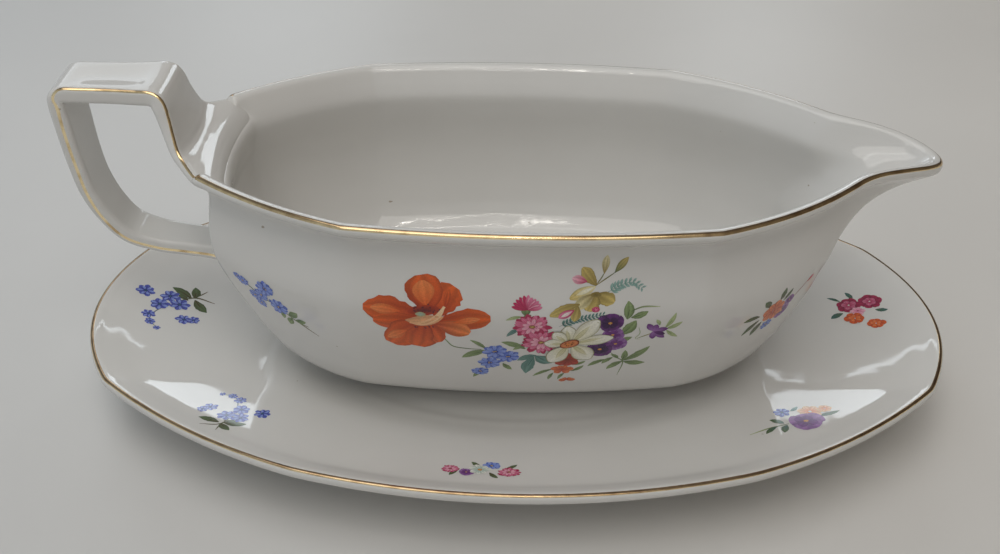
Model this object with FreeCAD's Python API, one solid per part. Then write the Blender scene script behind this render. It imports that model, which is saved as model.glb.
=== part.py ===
"""An eight-sided porcelain sauceboat that stands loose on its own underplate.

Units are millimetres. +Z is up, +X points to the spout, and -Y is the front.
The origin is the centre of the underplate's foot, on the table.

Every horizontal section of the bowl and of the underplate is an octagon whose sides bow
outwards. The bowl's sections are inset from its rim, and the underplate's are scaled from
its rim, and each body is lofted through its sections.
"""

import FreeCAD, Part
import os

V = FreeCAD.Vector

# Underplate
PLATE_LENGTH = 235.0
PLATE_WIDTH = 142.6
PLATE_HEIGHT = 21.0
PLATE_FOOT_HEIGHT = 4.2     # clear height under the well
WELL_FLOOR_Z = 8.0          # where the boat stands

# Bowl
RIM_Z = 75.0
BOWL_BOTTOM_Z = 13.5        # where the belly meets the boat's foot
SPOUT_TIP_X = 107.2
SPOUT_TIP_Z = 70.8          # the pouring edge is lower than the rim
FLOOR_THICKNESS = 3.6

# Handle, a flat strap
STRAP_THICKNESS = 4.1
STRAP_TOP_Z = 90.3
STRAP_END_X = -114.8
STRAP_HALF_WIDTH = 8.0      # along the thumb rest
STRAP_ROOT_HALF_WIDTH = 5.0  # where the lower leg meets the bowl

# Films fired onto the glaze
FILM = 0.1
GILDING_WIDTH = 1.3
GILDING_MARGIN = 0.8        # from the strap's edge to its line


# ---- sections -------------------------------------------------------------------------

def bowed_octagon(corners, bows, z):
    """Closed wire of eight sides, each a parabola that stands its bow proud of the chord."""
    edges = []
    for i, bow in enumerate(bows):
        start = V(corners[i][0], corners[i][1], z)
        end = V(corners[(i + 1) % 8][0], corners[(i + 1) % 8][1], z)
        chord = end - start
        outwards = V(chord.y, -chord.x, 0).normalize()
        pole = (start + end) * 0.5 + outwards * (2 * bow)
        side = Part.BezierCurve()
        side.setPoles([start, pole, end])
        edges.append(side.toShape())
    return Part.Wire(edges)


def inset_corners(corners, insets):
    """Corners of the octagon whose chords lie parallel to the given ones, each moved inwards."""
    lines = []
    for i, inset in enumerate(insets):
        start = V(corners[i][0], corners[i][1], 0)
        end = V(corners[(i + 1) % 8][0], corners[(i + 1) % 8][1], 0)
        along = (end - start).normalize()
        inwards = V(-along.y, along.x, 0)
        lines.append((start + inwards * inset, along))
    moved = []
    for i in range(8):
        (p, u), (q, v) = lines[i - 1], lines[i]
        across = u.x * v.y - u.y * v.x
        step = ((q.x - p.x) * v.y - (q.y - p.y) * v.x) / across
        moved.append((p.x + u.x * step, p.y + u.y * step))
    return moved


def loft(wires, straight=False):
    return Part.makeLoft(wires, True, straight)


def side_prism(edges, half_width):
    """Solid from a closed outline in the XZ plane, reaching the same way to front and back."""
    face = Part.Face(Part.Wire(Part.__sortEdges__(edges)))
    face.translate(V(0, -half_width, 0))
    return face.extrude(V(0, 2 * half_width, 0))


def curve(*poles):
    bezier = Part.BezierCurve()
    bezier.setPoles(list(poles))
    return bezier.toShape()


# ---- bowl -----------------------------------------------------------------------------

LONG_CORNER = (42.8, 41.5)
HANDLE_CORNER = (78.6, 22.0)
SPOUT_CORNER = (84.0, 16.0)
RIM_CORNERS = [
    (-LONG_CORNER[0], -LONG_CORNER[1]), (LONG_CORNER[0], -LONG_CORNER[1]),
    (SPOUT_CORNER[0], -SPOUT_CORNER[1]), (SPOUT_CORNER[0], SPOUT_CORNER[1]),
    (LONG_CORNER[0], LONG_CORNER[1]), (-LONG_CORNER[0], LONG_CORNER[1]),
    (-HANDLE_CORNER[0], HANDLE_CORNER[1]), (-HANDLE_CORNER[0], -HANDLE_CORNER[1]),
]
LONG_BOW = 3.9
SPOUT_DIAGONAL_BOW = 3.3
HANDLE_DIAGONAL_BOW = 2.0
HANDLE_END_BOW = 2.4
SPOUT_REACH = SPOUT_TIP_X - SPOUT_CORNER[0]

# The two ends lean in more than the sides do
SPOUT_ROOT_TOP_Z, SPOUT_ROOT_FOOT_Z = 64.0, 46.0
SPOUT_END_LEAN = 6.5
HANDLE_END_LEAN_FROM_Z = 45.0
HANDLE_END_LEAN = 0.12      # further inset per millimetre of height

# height, inset from the rim, reach of the spout beyond its end panel
BOWL_OUTSIDE = [
    (RIM_Z, 0.0, SPOUT_REACH), (73.6, 1.1, SPOUT_REACH + 1.1), (71.0, 2.6, SPOUT_REACH + 2.6),
    (67.0, 3.2, 21.0), (62.0, 2.8, 11.0), (57.0, 2.4, 6.0), (52.0, 2.2, 3.2), (45.0, 3.0, 2.0),
    (38.0, 4.8, 1.8), (30.0, 7.4, 1.6), (24.0, 9.6, 1.5), (20.0, 11.6, 1.4), (17.0, 14.2, 1.3),
    (14.8, 18.0, 1.2), (BOWL_BOTTOM_Z, 23.0, 1.0),
]
CAVITY_FLOOR_Z = BOWL_BOTTOM_Z + FLOOR_THICKNESS
BOWL_INSIDE = [
    (RIM_Z + 1.0, 2.0, 22.8), (73.0, 3.2, 23.0), (70.5, 5.0, 22.5), (67.0, 6.0, 15.5),
    (62.0, 5.8, 8.5), (57.0, 5.4, 4.6), (50.0, 5.3, 2.4), (38.0, 7.9, 1.8), (30.0, 10.6, 1.6),
    (24.0, 13.2, 1.4), (20.0, 16.4, 1.2), (CAVITY_FLOOR_Z, 22.5, 1.0),
]


def smooth_step(t):
    t = min(max(t, 0.0), 1.0)
    return t * t * (3 - 2 * t)


def bowl_section(z, inset, reach):
    spout_end = inset + SPOUT_END_LEAN * smooth_step((SPOUT_ROOT_TOP_Z - z)
                                                     / (SPOUT_ROOT_TOP_Z - SPOUT_ROOT_FOOT_Z))
    handle_end = inset + HANDLE_END_LEAN * max(0.0, HANDLE_END_LEAN_FROM_Z - z)
    insets = [inset, inset, spout_end, inset, inset, inset, handle_end, inset]
    corners = inset_corners(RIM_CORNERS, insets)
    shrink = (corners[1][0] - corners[0][0]) / (2 * LONG_CORNER[0])
    long_bow = LONG_BOW * shrink
    by_spout = SPOUT_DIAGONAL_BOW * shrink
    by_handle = HANDLE_DIAGONAL_BOW * shrink
    bows = [long_bow, by_spout, reach, by_spout, long_bow, by_handle, HANDLE_END_BOW, by_handle]
    return bowed_octagon(corners, bows, z)


def bowl_envelope(growth=0.0):
    return loft([bowl_section(z, inset - growth, reach) for z, inset, reach in BOWL_OUTSIDE])


def above_rim(drop=0.0):
    """Everything above the rim line, which dips in a curve towards the pouring edge."""
    rim = RIM_Z - drop
    tip = SPOUT_TIP_Z - drop
    left, right, top = -100.0, SPOUT_TIP_X + 8.0, RIM_Z + 12.0
    dip_start = V(SPOUT_CORNER[0] - 6.0, 0, rim)
    dip_middle = V(SPOUT_CORNER[0] + 8.0, 0, rim - 0.4)
    dip_end = V(right, 0, tip - 2.0)
    edges = [
        Part.makeLine(V(left, 0, rim), dip_start),
        curve(dip_start, dip_middle, dip_end),
        Part.makeLine(dip_end, V(right, 0, top)),
        Part.makeLine(V(right, 0, top), V(left, 0, top)),
        Part.makeLine(V(left, 0, top), V(left, 0, rim)),
    ]
    return side_prism(edges, 60.0)


FOOT_TOP_INSET = 20.5
FOOT_BOTTOM_INSET = 23.0
FOOT_RING_WIDTH = 4.0
FOOT_RECESS_Z = 10.6


def build_bowl():
    foot_top_z = BOWL_BOTTOM_Z + 1.4
    foot = loft([bowl_section(WELL_FLOOR_Z, FOOT_BOTTOM_INSET, 1.0),
                 bowl_section(foot_top_z, FOOT_TOP_INSET, 1.0)], straight=True)
    recess_inset = FOOT_BOTTOM_INSET + FOOT_RING_WIDTH
    recess = loft([bowl_section(WELL_FLOOR_Z - 1.0, recess_inset, 1.0),
                   bowl_section(FOOT_RECESS_Z, recess_inset + 0.6, 1.0)], straight=True)
    cavity = loft([bowl_section(z, inset, reach) for z, inset, reach in BOWL_INSIDE])
    body = bowl_envelope().fuse(foot)
    return body.cut(cavity).cut(recess).cut(above_rim())


# ---- handle ---------------------------------------------------------------------------

CORNER_RADIUS = 3.4
HOLE_CORNER = 1.6           # how far the finger hole's corners are cut back
RIM_JOIN = (-79.0, 74.3)    # x and z where the upper leg leaves the rim
RIM_JOIN_UNDERSIDE_Z = 70.0
WEB_TOP = (-88.4, 87.4)     # where the flared upper leg turns into the thumb rest
LEG_BEND = (-114.1, 70.0)   # below this the outer leg curves in towards the bowl
LOWER_LEG = (-96.0, 41.3)   # and here it runs straight on to the bowl
LEG_INNER_X = -109.9
LOWER_LEG_INNER = (-95.0, 45.6)
INSIDE_BOWL_X = -70.0       # the lower leg ends inside the bowl's wall
LOWER_END_Z = 36.6
LOWER_END_TOP_Z = 40.0


def strap_outer_edges(inset=0.0):
    """Outer boundary of the handle seen from the front, from the rim round to the lower leg."""
    top_z = STRAP_TOP_Z - inset
    end_x = STRAP_END_X + inset
    diagonal = 0.7 * inset
    rim_join = V(RIM_JOIN[0], 0, RIM_JOIN[1] - inset)
    web_top = V(WEB_TOP[0] - inset, 0, WEB_TOP[1])
    top_right = V(WEB_TOP[0] - 3.0, 0, top_z)
    top_left = V(STRAP_END_X + CORNER_RADIUS, 0, top_z)
    leg_top = V(end_x, 0, STRAP_TOP_Z - CORNER_RADIUS)
    leg_bend = V(LEG_BEND[0] + inset, 0, LEG_BEND[1])
    lower_leg = V(LOWER_LEG[0], 0, LOWER_LEG[1] + inset)
    return [
        curve(rim_join, V(-86.5 - diagonal, 0, 75.5 - diagonal), web_top),
        curve(web_top, V(WEB_TOP[0] - 0.3 - inset, 0, top_z), top_right),
        Part.makeLine(top_right, top_left),
        curve(top_left, V(end_x, 0, top_z), leg_top),
        Part.makeLine(leg_top, leg_bend),
        curve(leg_bend, V(-112.8 + inset, 0, 50.0), V(-106.0 + diagonal, 0, 43.0 + diagonal), lower_leg),
        Part.makeLine(lower_leg, V(INSIDE_BOWL_X, 0, LOWER_END_Z + inset)),
    ]


def strap_inner_edges():
    """Inner boundary, round the finger hole, from the lower leg back to the rim."""
    top_z = STRAP_TOP_Z - STRAP_THICKNESS
    left_x = STRAP_END_X + STRAP_THICKNESS + 0.3
    right_x = WEB_TOP[0] - 2.6
    lower_leg = V(LOWER_LEG_INNER[0], 0, LOWER_LEG_INNER[1])
    leg_bend = V(LEG_INNER_X, 0, LEG_BEND[1])
    left_low = V(left_x, 0, top_z - HOLE_CORNER)
    left_high = V(left_x + HOLE_CORNER, 0, top_z)
    right_high = V(right_x - HOLE_CORNER, 0, top_z)
    right_low = V(right_x, 0, top_z - HOLE_CORNER)
    return [
        Part.makeLine(V(INSIDE_BOWL_X, 0, LOWER_END_TOP_Z), lower_leg),
        curve(lower_leg, V(-103.5, 0, 47.6), V(-108.6, 0, 54.0), leg_bend),
        Part.makeLine(leg_bend, left_low),
        curve(left_low, V(left_x, 0, top_z), left_high),
        Part.makeLine(left_high, right_high),
        curve(right_high, V(right_x, 0, top_z), right_low),
        curve(right_low, V(-89.6, 0, 74.0), V(RIM_JOIN[0], 0, RIM_JOIN_UNDERSIDE_Z)),
    ]


def strap_prism():
    closing = [
        Part.makeLine(V(INSIDE_BOWL_X, 0, LOWER_END_Z), V(INSIDE_BOWL_X, 0, LOWER_END_TOP_Z)),
        Part.makeLine(V(RIM_JOIN[0], 0, RIM_JOIN_UNDERSIDE_Z), V(RIM_JOIN[0], 0, RIM_JOIN[1])),
    ]
    return side_prism(strap_outer_edges() + strap_inner_edges() + closing, 30.0)


def strap_widths(growth=0.0):
    """How wide the strap may be: a plan outline for the flared top, a taper for the legs."""
    half = STRAP_HALF_WIDTH + growth
    root = HANDLE_CORNER[1] + growth
    root_x = -HANDLE_CORNER[0]
    split_x, straight_x = -100.0, -91.0
    web_floor_z, taper_top_z, taper_foot_z = 62.0, 82.0, 38.0
    plan = []
    for side in (1, -1):
        plan.append(curve(V(straight_x, side * half, 0), V(-86.0, side * (half + 3.4), 0),
                          V(-81.5, side * (half + 7.4), 0), V(root_x, side * root, 0)))
        plan.append(Part.makeLine(V(split_x, side * half, 0), V(straight_x, side * half, 0)))
        plan.append(Part.makeLine(V(root_x, side * root, 0), V(INSIDE_BOWL_X, side * root, 0)))
    for x, reach in ((split_x, half), (INSIDE_BOWL_X, root)):
        plan.append(Part.makeLine(V(x, -reach, 0), V(x, reach, 0)))
    flare = Part.Face(Part.Wire(Part.__sortEdges__(plan)))
    flare.translate(V(0, 0, web_floor_z))
    flare = flare.extrude(V(0, 0, STRAP_TOP_Z + 5.0 - web_floor_z))

    foot = STRAP_ROOT_HALF_WIDTH + growth
    low_z, high_z = taper_foot_z - 8.0, STRAP_TOP_Z + 5.0
    taper = Part.Face(Part.makePolygon([
        V(0, -half, high_z), V(0, half, high_z), V(0, half, taper_top_z), V(0, foot, taper_foot_z),
        V(0, foot, low_z), V(0, -foot, low_z), V(0, -foot, taper_foot_z), V(0, -half, taper_top_z),
        V(0, -half, high_z)]))
    taper.translate(V(STRAP_END_X - 5.0, 0, 0))
    taper = taper.extrude(V(INSIDE_BOWL_X - STRAP_END_X + 5.0, 0, 0))
    beside_flare = Part.makeBox(60.0, 80.0, 60.0, V(split_x, -40.0, web_floor_z))
    return flare.fuse(taper.cut(beside_flare))


def build_handle(bowl_body):
    strap = strap_prism().common(strap_widths()).removeSplitter()
    return strap.cut(bowl_body)


# ---- underplate -----------------------------------------------------------------------

PLATE_END_BOW = 10.5
PLATE_LONG_BOW = 7.8
PLATE_DIAGONAL_BOW = 3.0
PLATE_LONG_CORNER = (55.0, PLATE_WIDTH / 2 - PLATE_LONG_BOW)
PLATE_END_CORNER = (PLATE_LENGTH / 2 - PLATE_END_BOW, 32.6)
PLATE_CORNERS = [
    (-PLATE_LONG_CORNER[0], -PLATE_LONG_CORNER[1]), (PLATE_LONG_CORNER[0], -PLATE_LONG_CORNER[1]),
    (PLATE_END_CORNER[0], -PLATE_END_CORNER[1]), (PLATE_END_CORNER[0], PLATE_END_CORNER[1]),
    (PLATE_LONG_CORNER[0], PLATE_LONG_CORNER[1]), (-PLATE_LONG_CORNER[0], PLATE_LONG_CORNER[1]),
    (-PLATE_END_CORNER[0], PLATE_END_CORNER[1]), (-PLATE_END_CORNER[0], -PLATE_END_CORNER[1]),
]
PLATE_BOWS = [PLATE_LONG_BOW, PLATE_DIAGONAL_BOW, PLATE_END_BOW, PLATE_DIAGONAL_BOW] * 2

# height, size as a share of the rim
PLATE_UNDERSIDE = [(3.4, 0.56), (6.0, 0.62), (9.0, 0.72), (12.5, 0.85), (16.0, 0.955), (18.4, 0.998),
                   (PLATE_HEIGHT, 1.0)]
PLATE_TOP = [(WELL_FLOOR_Z, 0.505), (9.2, 0.54), (11.2, 0.575), (12.6, 0.68), (15.0, 0.80),
             (18.0, 0.905), (20.2, 0.972), (PLATE_HEIGHT, 0.984), (PLATE_HEIGHT + 1.0, 0.992)]


def plate_section(z, share):
    corners = [(x * share, y * share) for x, y in PLATE_CORNERS]
    return bowed_octagon(corners, [bow * share for bow in PLATE_BOWS], z)


def plate_hollow(lift=0.0):
    return loft([plate_section(z + lift, share) for z, share in PLATE_TOP])


def build_underplate():
    dish = loft([plate_section(z, share) for z, share in PLATE_UNDERSIDE])
    foot = loft([plate_section(0.0, 0.545), plate_section(4.4, 0.575)], straight=True)
    recess = loft([plate_section(-1.0, 0.505), plate_section(PLATE_FOOT_HEIGHT, 0.495)], straight=True)
    return dish.fuse(foot).cut(plate_hollow()).cut(recess)


# ---- gilding --------------------------------------------------------------------------

def build_bowl_rim_gilding():
    """Gold line just under the rim's outer edge. It stops at the handle, whose own line goes on."""
    below_line = above_rim(drop=GILDING_WIDTH + 0.2)
    above_line = above_rim(drop=0.2)
    band = bowl_envelope(FILM).cut(bowl_envelope())
    band = band.common(below_line).cut(above_line)
    handle_root = Part.makeBox(20.0, 2 * HANDLE_CORNER[1], 20.0,
                               V(-HANDLE_CORNER[0] - 18.0, -HANDLE_CORNER[1], RIM_Z - 10.0))
    return band.cut(handle_root)


def build_handle_gilding():
    """Gold line on both side faces of the strap, along its outer edge."""
    near_edge, far_edge = GILDING_MARGIN, GILDING_MARGIN + GILDING_WIDTH
    rim_x, rim_z = RIM_JOIN
    closing = []
    for x, z, sense in ((INSIDE_BOWL_X, LOWER_END_Z, 1), (rim_x, rim_z, -1)):
        closing.append(Part.makeLine(V(x, 0, z + sense * near_edge), V(x, 0, z + sense * far_edge)))
    reach = side_prism(strap_outer_edges(near_edge) + strap_outer_edges(far_edge) + closing, 30.0)
    lines = reach.common(strap_widths(FILM)).cut(strap_widths())
    bowl_end = Part.makeBox(40.0, 80.0, 80.0, V(-HANDLE_CORNER[0] - 1.6, -40.0, 30.0))
    return lines.cut(bowl_end)


def build_underplate_rim_gilding():
    outer = Part.Face(plate_section(PLATE_HEIGHT, 0.998))
    inner = Part.Face(plate_section(PLATE_HEIGHT, 0.986))
    return outer.cut(inner).extrude(V(0, 0, FILM))


# ---- transfers: printed flowers, as plain films -----------------------------------------

def oval_prism(centre, direction, half_length, half_height, depth):
    """Elliptical bar that crosses a surface at centre, with its long axis horizontal."""
    facing = V(*direction).normalize()
    across = V(0, 0, 1).cross(facing)
    if across.Length < 0.01:
        across = V(1, 0, 0)
    across.normalize()
    up = facing.cross(across)
    plane = FreeCAD.Placement(V(*centre), FreeCAD.Rotation(across, up, facing, "ZXY"))
    ellipse = Part.Ellipse(V(0, 0, 0), half_length, half_height).toShape()
    bar = Part.Face(Part.Wire([ellipse])).extrude(V(0, 0, depth))
    bar.Placement = plane
    return bar


def bowl_film():
    return bowl_envelope(FILM).cut(bowl_envelope())


BOUQUET_HALF_LENGTH = 39.5
BOUQUET_HALF_HEIGHT = 23.5
BOUQUET_Z = 43.0
SPRIG_Z = 45.0


def build_bowl_bouquet(film, side):
    """The large bouquet on a long side; side is -1 for the front and 1 for the back."""
    bar = oval_prism((0.0, side * 20.0, BOUQUET_Z), (0, side, 0), BOUQUET_HALF_LENGTH,
                     BOUQUET_HALF_HEIGHT, 40.0)
    return film.common(bar)


def build_bowl_sprigs(film):
    """One small sprig on each of the four diagonal sides."""
    sprigs = []
    for end_x in (-HANDLE_CORNER[0], SPOUT_CORNER[0]):
        for side in (-1, 1):
            middle_x = (end_x + (LONG_CORNER[0] if end_x > 0 else -LONG_CORNER[0])) / 2
            centre = (middle_x * 0.8, side * 15.0, SPRIG_Z)
            bar = oval_prism(centre, (0.5 if end_x > 0 else -0.5, side, 0), 12.0, 9.0, 40.0)
            sprigs.append(film.common(bar))
    return Part.makeCompound(sprigs)


PLATE_SPRIG_SIZE = (12.5, 7.5)      # half length and half width
PLATE_END_SPRIG_SIZE = (11.5, 10.5)


def build_underplate_sprigs():
    """One small sprig on each side of the flange: eight all told, the two ends a little rounder."""
    film = plate_hollow().cut(plate_hollow(FILM))
    places = [((-99.0, 4.0), PLATE_END_SPRIG_SIZE), ((99.0, 4.0), PLATE_END_SPRIG_SIZE)]
    for side in (-1, 1):
        places.append(((side * 10.7, side * 56.8), PLATE_SPRIG_SIZE))
        for end in (-1, 1):
            places.append(((end * 72.0, side * 38.0), PLATE_SPRIG_SIZE))
    sprigs = []
    for (x, y), (half_length, half_width) in places:
        bar = oval_prism((x, y, 5.0), (0, 0, 1), half_length, half_width, 20.0)
        sprigs.append(film.common(bar))
    return Part.makeCompound(sprigs)


# ---- all pieces -----------------------------------------------------------------------

def main():
    bowl = build_bowl()
    bowl_body = bowl_envelope().cut(above_rim())
    handle = build_handle(bowl_body)
    film = bowl_film()
    pieces = {
        "underplate": build_underplate(),
        "bowl": bowl,
        "handle": handle,
        "underplate_rim_gilding": build_underplate_rim_gilding(),
        "bowl_rim_gilding": build_bowl_rim_gilding(),
        "handle_gilding": build_handle_gilding(),
        "bowl_front_bouquet": build_bowl_bouquet(film, -1),
        "bowl_back_bouquet": build_bowl_bouquet(film, 1),
        "bowl_sprigs": build_bowl_sprigs(film),
        "underplate_sprigs": build_underplate_sprigs(),
    }
    os.makedirs("parts", exist_ok=True)
    for name, shape in pieces.items():
        print(name, "valid" if shape.isValid() else "INVALID", len(shape.Solids), round(shape.Volume, 1))
        shape.exportStep("parts/" + name + ".step")


main()
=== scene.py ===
import math
import random

import bpy
import numpy as np
from mathutils import Matrix, Vector
from mathutils.bvhtree import BVHTree


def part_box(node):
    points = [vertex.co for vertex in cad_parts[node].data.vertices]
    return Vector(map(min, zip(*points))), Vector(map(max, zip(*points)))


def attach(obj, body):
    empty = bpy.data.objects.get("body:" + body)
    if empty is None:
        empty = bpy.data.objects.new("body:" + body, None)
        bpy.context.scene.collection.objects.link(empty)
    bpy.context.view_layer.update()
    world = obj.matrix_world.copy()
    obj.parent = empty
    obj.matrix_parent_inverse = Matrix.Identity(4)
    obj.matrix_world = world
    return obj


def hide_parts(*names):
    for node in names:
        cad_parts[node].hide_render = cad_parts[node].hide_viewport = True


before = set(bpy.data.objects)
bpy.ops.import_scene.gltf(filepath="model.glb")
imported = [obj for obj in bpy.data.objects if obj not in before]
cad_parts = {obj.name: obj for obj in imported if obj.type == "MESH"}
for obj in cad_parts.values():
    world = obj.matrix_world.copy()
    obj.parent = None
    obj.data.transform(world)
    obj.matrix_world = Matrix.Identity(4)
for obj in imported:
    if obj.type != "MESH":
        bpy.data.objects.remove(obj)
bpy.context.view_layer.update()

MM = 0.001

# ---- places taken from the frame, in millimetres --------------------------------------


def box_mm(node):
    low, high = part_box(node)
    return np.array(low) / MM, np.array(high) / MM


BOWL_LOW, BOWL_HIGH = box_mm("bowl")
HANDLE_LOW, HANDLE_HIGH = box_mm("handle")
PLATE_LOW, PLATE_HIGH = box_mm("underplate")

RIM_Z = BOWL_HIGH[2]
STANDING_Z = BOWL_LOW[2]            # the boat's foot on the floor of the well
SPOUT_TIP_X = BOWL_HIGH[0]
BOWL_HALF_WIDTH = BOWL_HIGH[1]
STRAP_TOP_Z = HANDLE_HIGH[2]
STRAP_END_X = HANDLE_LOW[0]
PLATE_HALF_LENGTH = PLATE_HIGH[0]
PLATE_HALF_WIDTH = PLATE_HIGH[1]
PLATE_TOP_Z = PLATE_HIGH[2]


# ---- curves and grids -----------------------------------------------------------------

def smooth_step(t):
    t = np.clip(t, 0.0, 1.0)
    return t * t * (3 - 2 * t)


def through(points, spacing):
    """Points along a smooth curve through the given ones, about spacing apart in their first two columns."""
    p = np.array(points, float)
    p = np.vstack([2 * p[0] - p[1], p, 2 * p[-1] - p[-2]])
    rows = []
    for i in range(1, len(p) - 2):
        knots = [0.0]
        for k in range(3):
            step = np.linalg.norm(p[i + k][:2] - p[i + k - 1][:2])
            knots.append(knots[-1] + max(math.sqrt(step), 1e-3))
        t0, t1, t2, t3 = knots
        count = max(1, round(np.linalg.norm(p[i + 1][:2] - p[i][:2]) / spacing))
        for t in np.linspace(t1, t2, count, endpoint=False):
            a1 = ((t1 - t) * p[i - 1] + (t - t0) * p[i]) / (t1 - t0)
            a2 = ((t2 - t) * p[i] + (t - t1) * p[i + 1]) / (t2 - t1)
            a3 = ((t3 - t) * p[i + 1] + (t - t2) * p[i + 2]) / (t3 - t2)
            b1 = ((t2 - t) * a1 + (t - t0) * a2) / (t2 - t0)
            b2 = ((t3 - t) * a2 + (t - t1) * a3) / (t3 - t1)
            rows.append(((t2 - t) * b1 + (t - t1) * b2) / (t2 - t1))
    rows.append(p[-2])
    return np.array(rows)


def inset_corners(corners, insets):
    """Corners of the octagon whose chords lie parallel to the given ones, each moved inwards."""
    p = np.array(corners, float)
    along = np.roll(p, -1, axis=0) - p
    along /= np.linalg.norm(along, axis=1)[:, None]
    start = p + np.stack([-along[:, 1], along[:, 0]], 1) * np.array(insets)[:, None]
    moved = []
    for i in range(8):
        u, v = along[i - 1], along[i]
        gap = start[i] - start[i - 1]
        moved.append(start[i - 1] + u * (gap[0] * v[1] - gap[1] * v[0]) / (u[0] * v[1] - u[1] * v[0]))
    return np.array(moved)


def bowed_ring(corners, bows, counts, softness):
    """Closed ring of points: eight parabolic sides, their corners softened by a running average."""
    ring = []
    for i, (bow, count) in enumerate(zip(bows, counts)):
        start, end = corners[i], corners[(i + 1) % 8]
        chord = end - start
        outwards = np.array([chord[1], -chord[0]]) / np.linalg.norm(chord)
        t = np.linspace(0, 1, count, endpoint=False)[:, None]
        ring.append(start + chord * t + outwards * bow * 4 * t * (1 - t))
    ring = np.vstack(ring)
    reach = int(3 * softness)
    weights = np.exp(-0.5 * (np.arange(-reach, reach + 1) / softness) ** 2)
    weights /= weights.sum()
    return sum(w * np.roll(ring, shift, axis=0) for w, shift in zip(weights, range(-reach, reach + 1)))


def make_object(name, vertices, faces, smooth=True):
    mesh = bpy.data.meshes.new(name)
    mesh.from_pydata([tuple(v) for v in np.array(vertices) * MM], [], faces)
    mesh.validate()
    mesh.update()
    if smooth:
        mesh.polygons.foreach_set("use_smooth", [True] * len(mesh.polygons))
    piece = bpy.data.objects.new(name, mesh)
    bpy.context.scene.collection.objects.link(piece)
    return piece


def rings_to_faces(rows, count):
    """Quads between neighbouring closed rings of count points each."""
    faces = []
    for r in range(rows - 1):
        a, b = r * count, (r + 1) * count
        for i in range(count):
            j = (i + 1) % count
            faces.append((a + i, a + j, b + j, b + i))
    return faces


def capped_rings(name, rings):
    """Closed body from rings that start and end at a point: those two are closed by fans."""
    count = len(rings[0])
    vertices = np.vstack(rings)
    faces = rings_to_faces(len(rings), count)
    first, last = len(vertices), len(vertices) + 1
    vertices = np.vstack([vertices, rings[0].mean(0), rings[-1].mean(0)])
    top = (len(rings) - 1) * count
    for i in range(count):
        j = (i + 1) % count
        faces.append((first, j, i))
        faces.append((last, top + i, top + j))
    return make_object(name, vertices, faces)


def surface_of(piece):
    """Search tree of a piece's surface, in metres, as it will be rendered."""
    mesh = piece.data
    corners = [v.co.copy() for v in mesh.vertices]
    return BVHTree.FromPolygons(corners, [tuple(p.vertices) for p in mesh.polygons])


# ---- bowl -----------------------------------------------------------------------------

LONG_BOW = 2.9
SPOUT_DIAGONAL_BOW = 2.8
HANDLE_DIAGONAL_BOW = 1.8
HANDLE_END_BOW = 2.4
LONG_CORNER = np.array([42.8, BOWL_HALF_WIDTH - LONG_BOW])
HANDLE_CORNER = np.array([BOWL_LOW[0] + HANDLE_END_BOW, 22.0])
SPOUT_REACH = 23.2
SPOUT_CORNER = np.array([SPOUT_TIP_X - SPOUT_REACH, 16.0])
SPOUT_ROOT_TOP_Z, SPOUT_ROOT_FOOT_Z = RIM_Z - 11.0, RIM_Z - 29.0
SPOUT_END_LEAN = 6.5
SPOUT_ROOT_SOFTNESS = 2.6            # extra rounding where the rim turns into the spout
SPOUT_DIP = 3.6                      # how much lower the pouring edge is
POINT_SPACING = 1.0

# height, inset from the rim, reach of the spout beyond its end panel, softness of the corners,
# inset of the panel at the handle's end
OUTSIDE = [
    (STANDING_Z, 26.4, 1.0, 1.6, 33.0), (STANDING_Z, 24.2, 1.0, 1.6, 31.0),
    (STANDING_Z + 0.7, 23.1, 1.0, 1.6, 29.8), (12.4, 21.4, 1.0, 1.5, 27.9), (13.8, 19.8, 1.1, 1.4, 26.0),
    (15.0, 17.4, 1.2, 1.3, 23.4), (17.0, 14.2, 1.3, 1.2, 20.0), (20.0, 11.6, 1.4, 1.1, 16.8),
    (24.0, 9.6, 1.5, 1.1, 14.2), (30.0, 7.4, 1.6, 1.0, 11.0), (38.0, 4.8, 1.8, 1.0, 7.2),
    (45.0, 3.0, 2.0, 0.8, 4.0), (52.0, 2.1, 3.2, 0.7, 1.2), (57.0, 2.7, 6.0, 0.7, 0.6),
    (62.0, 3.8, 11.0, 0.7, 0.9), (66.5, 4.7, 19.0, 0.7, 1.3), (69.4, 4.0, 23.5, 0.7, 0.8),
    (71.2, 2.1, 24.2, 0.6, -0.5), (72.5, 0.45, 23.5, 0.5, -1.4), (73.5, 0.03, SPOUT_REACH, 0.5, -1.1),
    (74.2, 0.10, SPOUT_REACH, 0.5, -0.3), (74.7, 0.42, SPOUT_REACH, 0.5, 0.3),
]
LIP = [
    (RIM_Z - 0.03, 0.95, SPOUT_REACH, 0.5, 0.95), (RIM_Z, 1.5, SPOUT_REACH, 0.5, 1.5),
    (74.85, 2.2, 23.1, 0.6, 2.2), (74.4, 2.9, 23.0, 0.7, 2.9),
]
INSIDE = [
    (73.4, 3.65, 22.7, 0.7, 3.65), (72.0, 4.5, 22.2, 0.7, 4.5), (70.0, 5.7, 20.6, 0.7, 5.7),
    (67.0, 6.9, 15.5, 0.8, 6.9), (62.0, 6.4, 8.5, 0.9, 6.4), (57.0, 5.6, 4.6, 1.1, 5.6),
    (50.0, 5.3, 2.4, 1.6, 6.0), (43.0, 6.6, 2.0, 1.8, 8.4), (38.0, 8.3, 1.8, 2.0, 10.6),
    (33.0, 10.7, 1.6, 2.4, 13.6), (29.5, 13.6, 1.5, 2.8, 17.0), (27.0, 17.0, 1.3, 3.2, 21.0),
    (24.6, 21.5, 1.1, 3.4, 26.0), (22.6, 26.0, 1.0, 3.6, 31.0),
]
INSIDE_FLOOR_FALL = 4.0               # from the last ring down to the middle of the bowl
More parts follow.
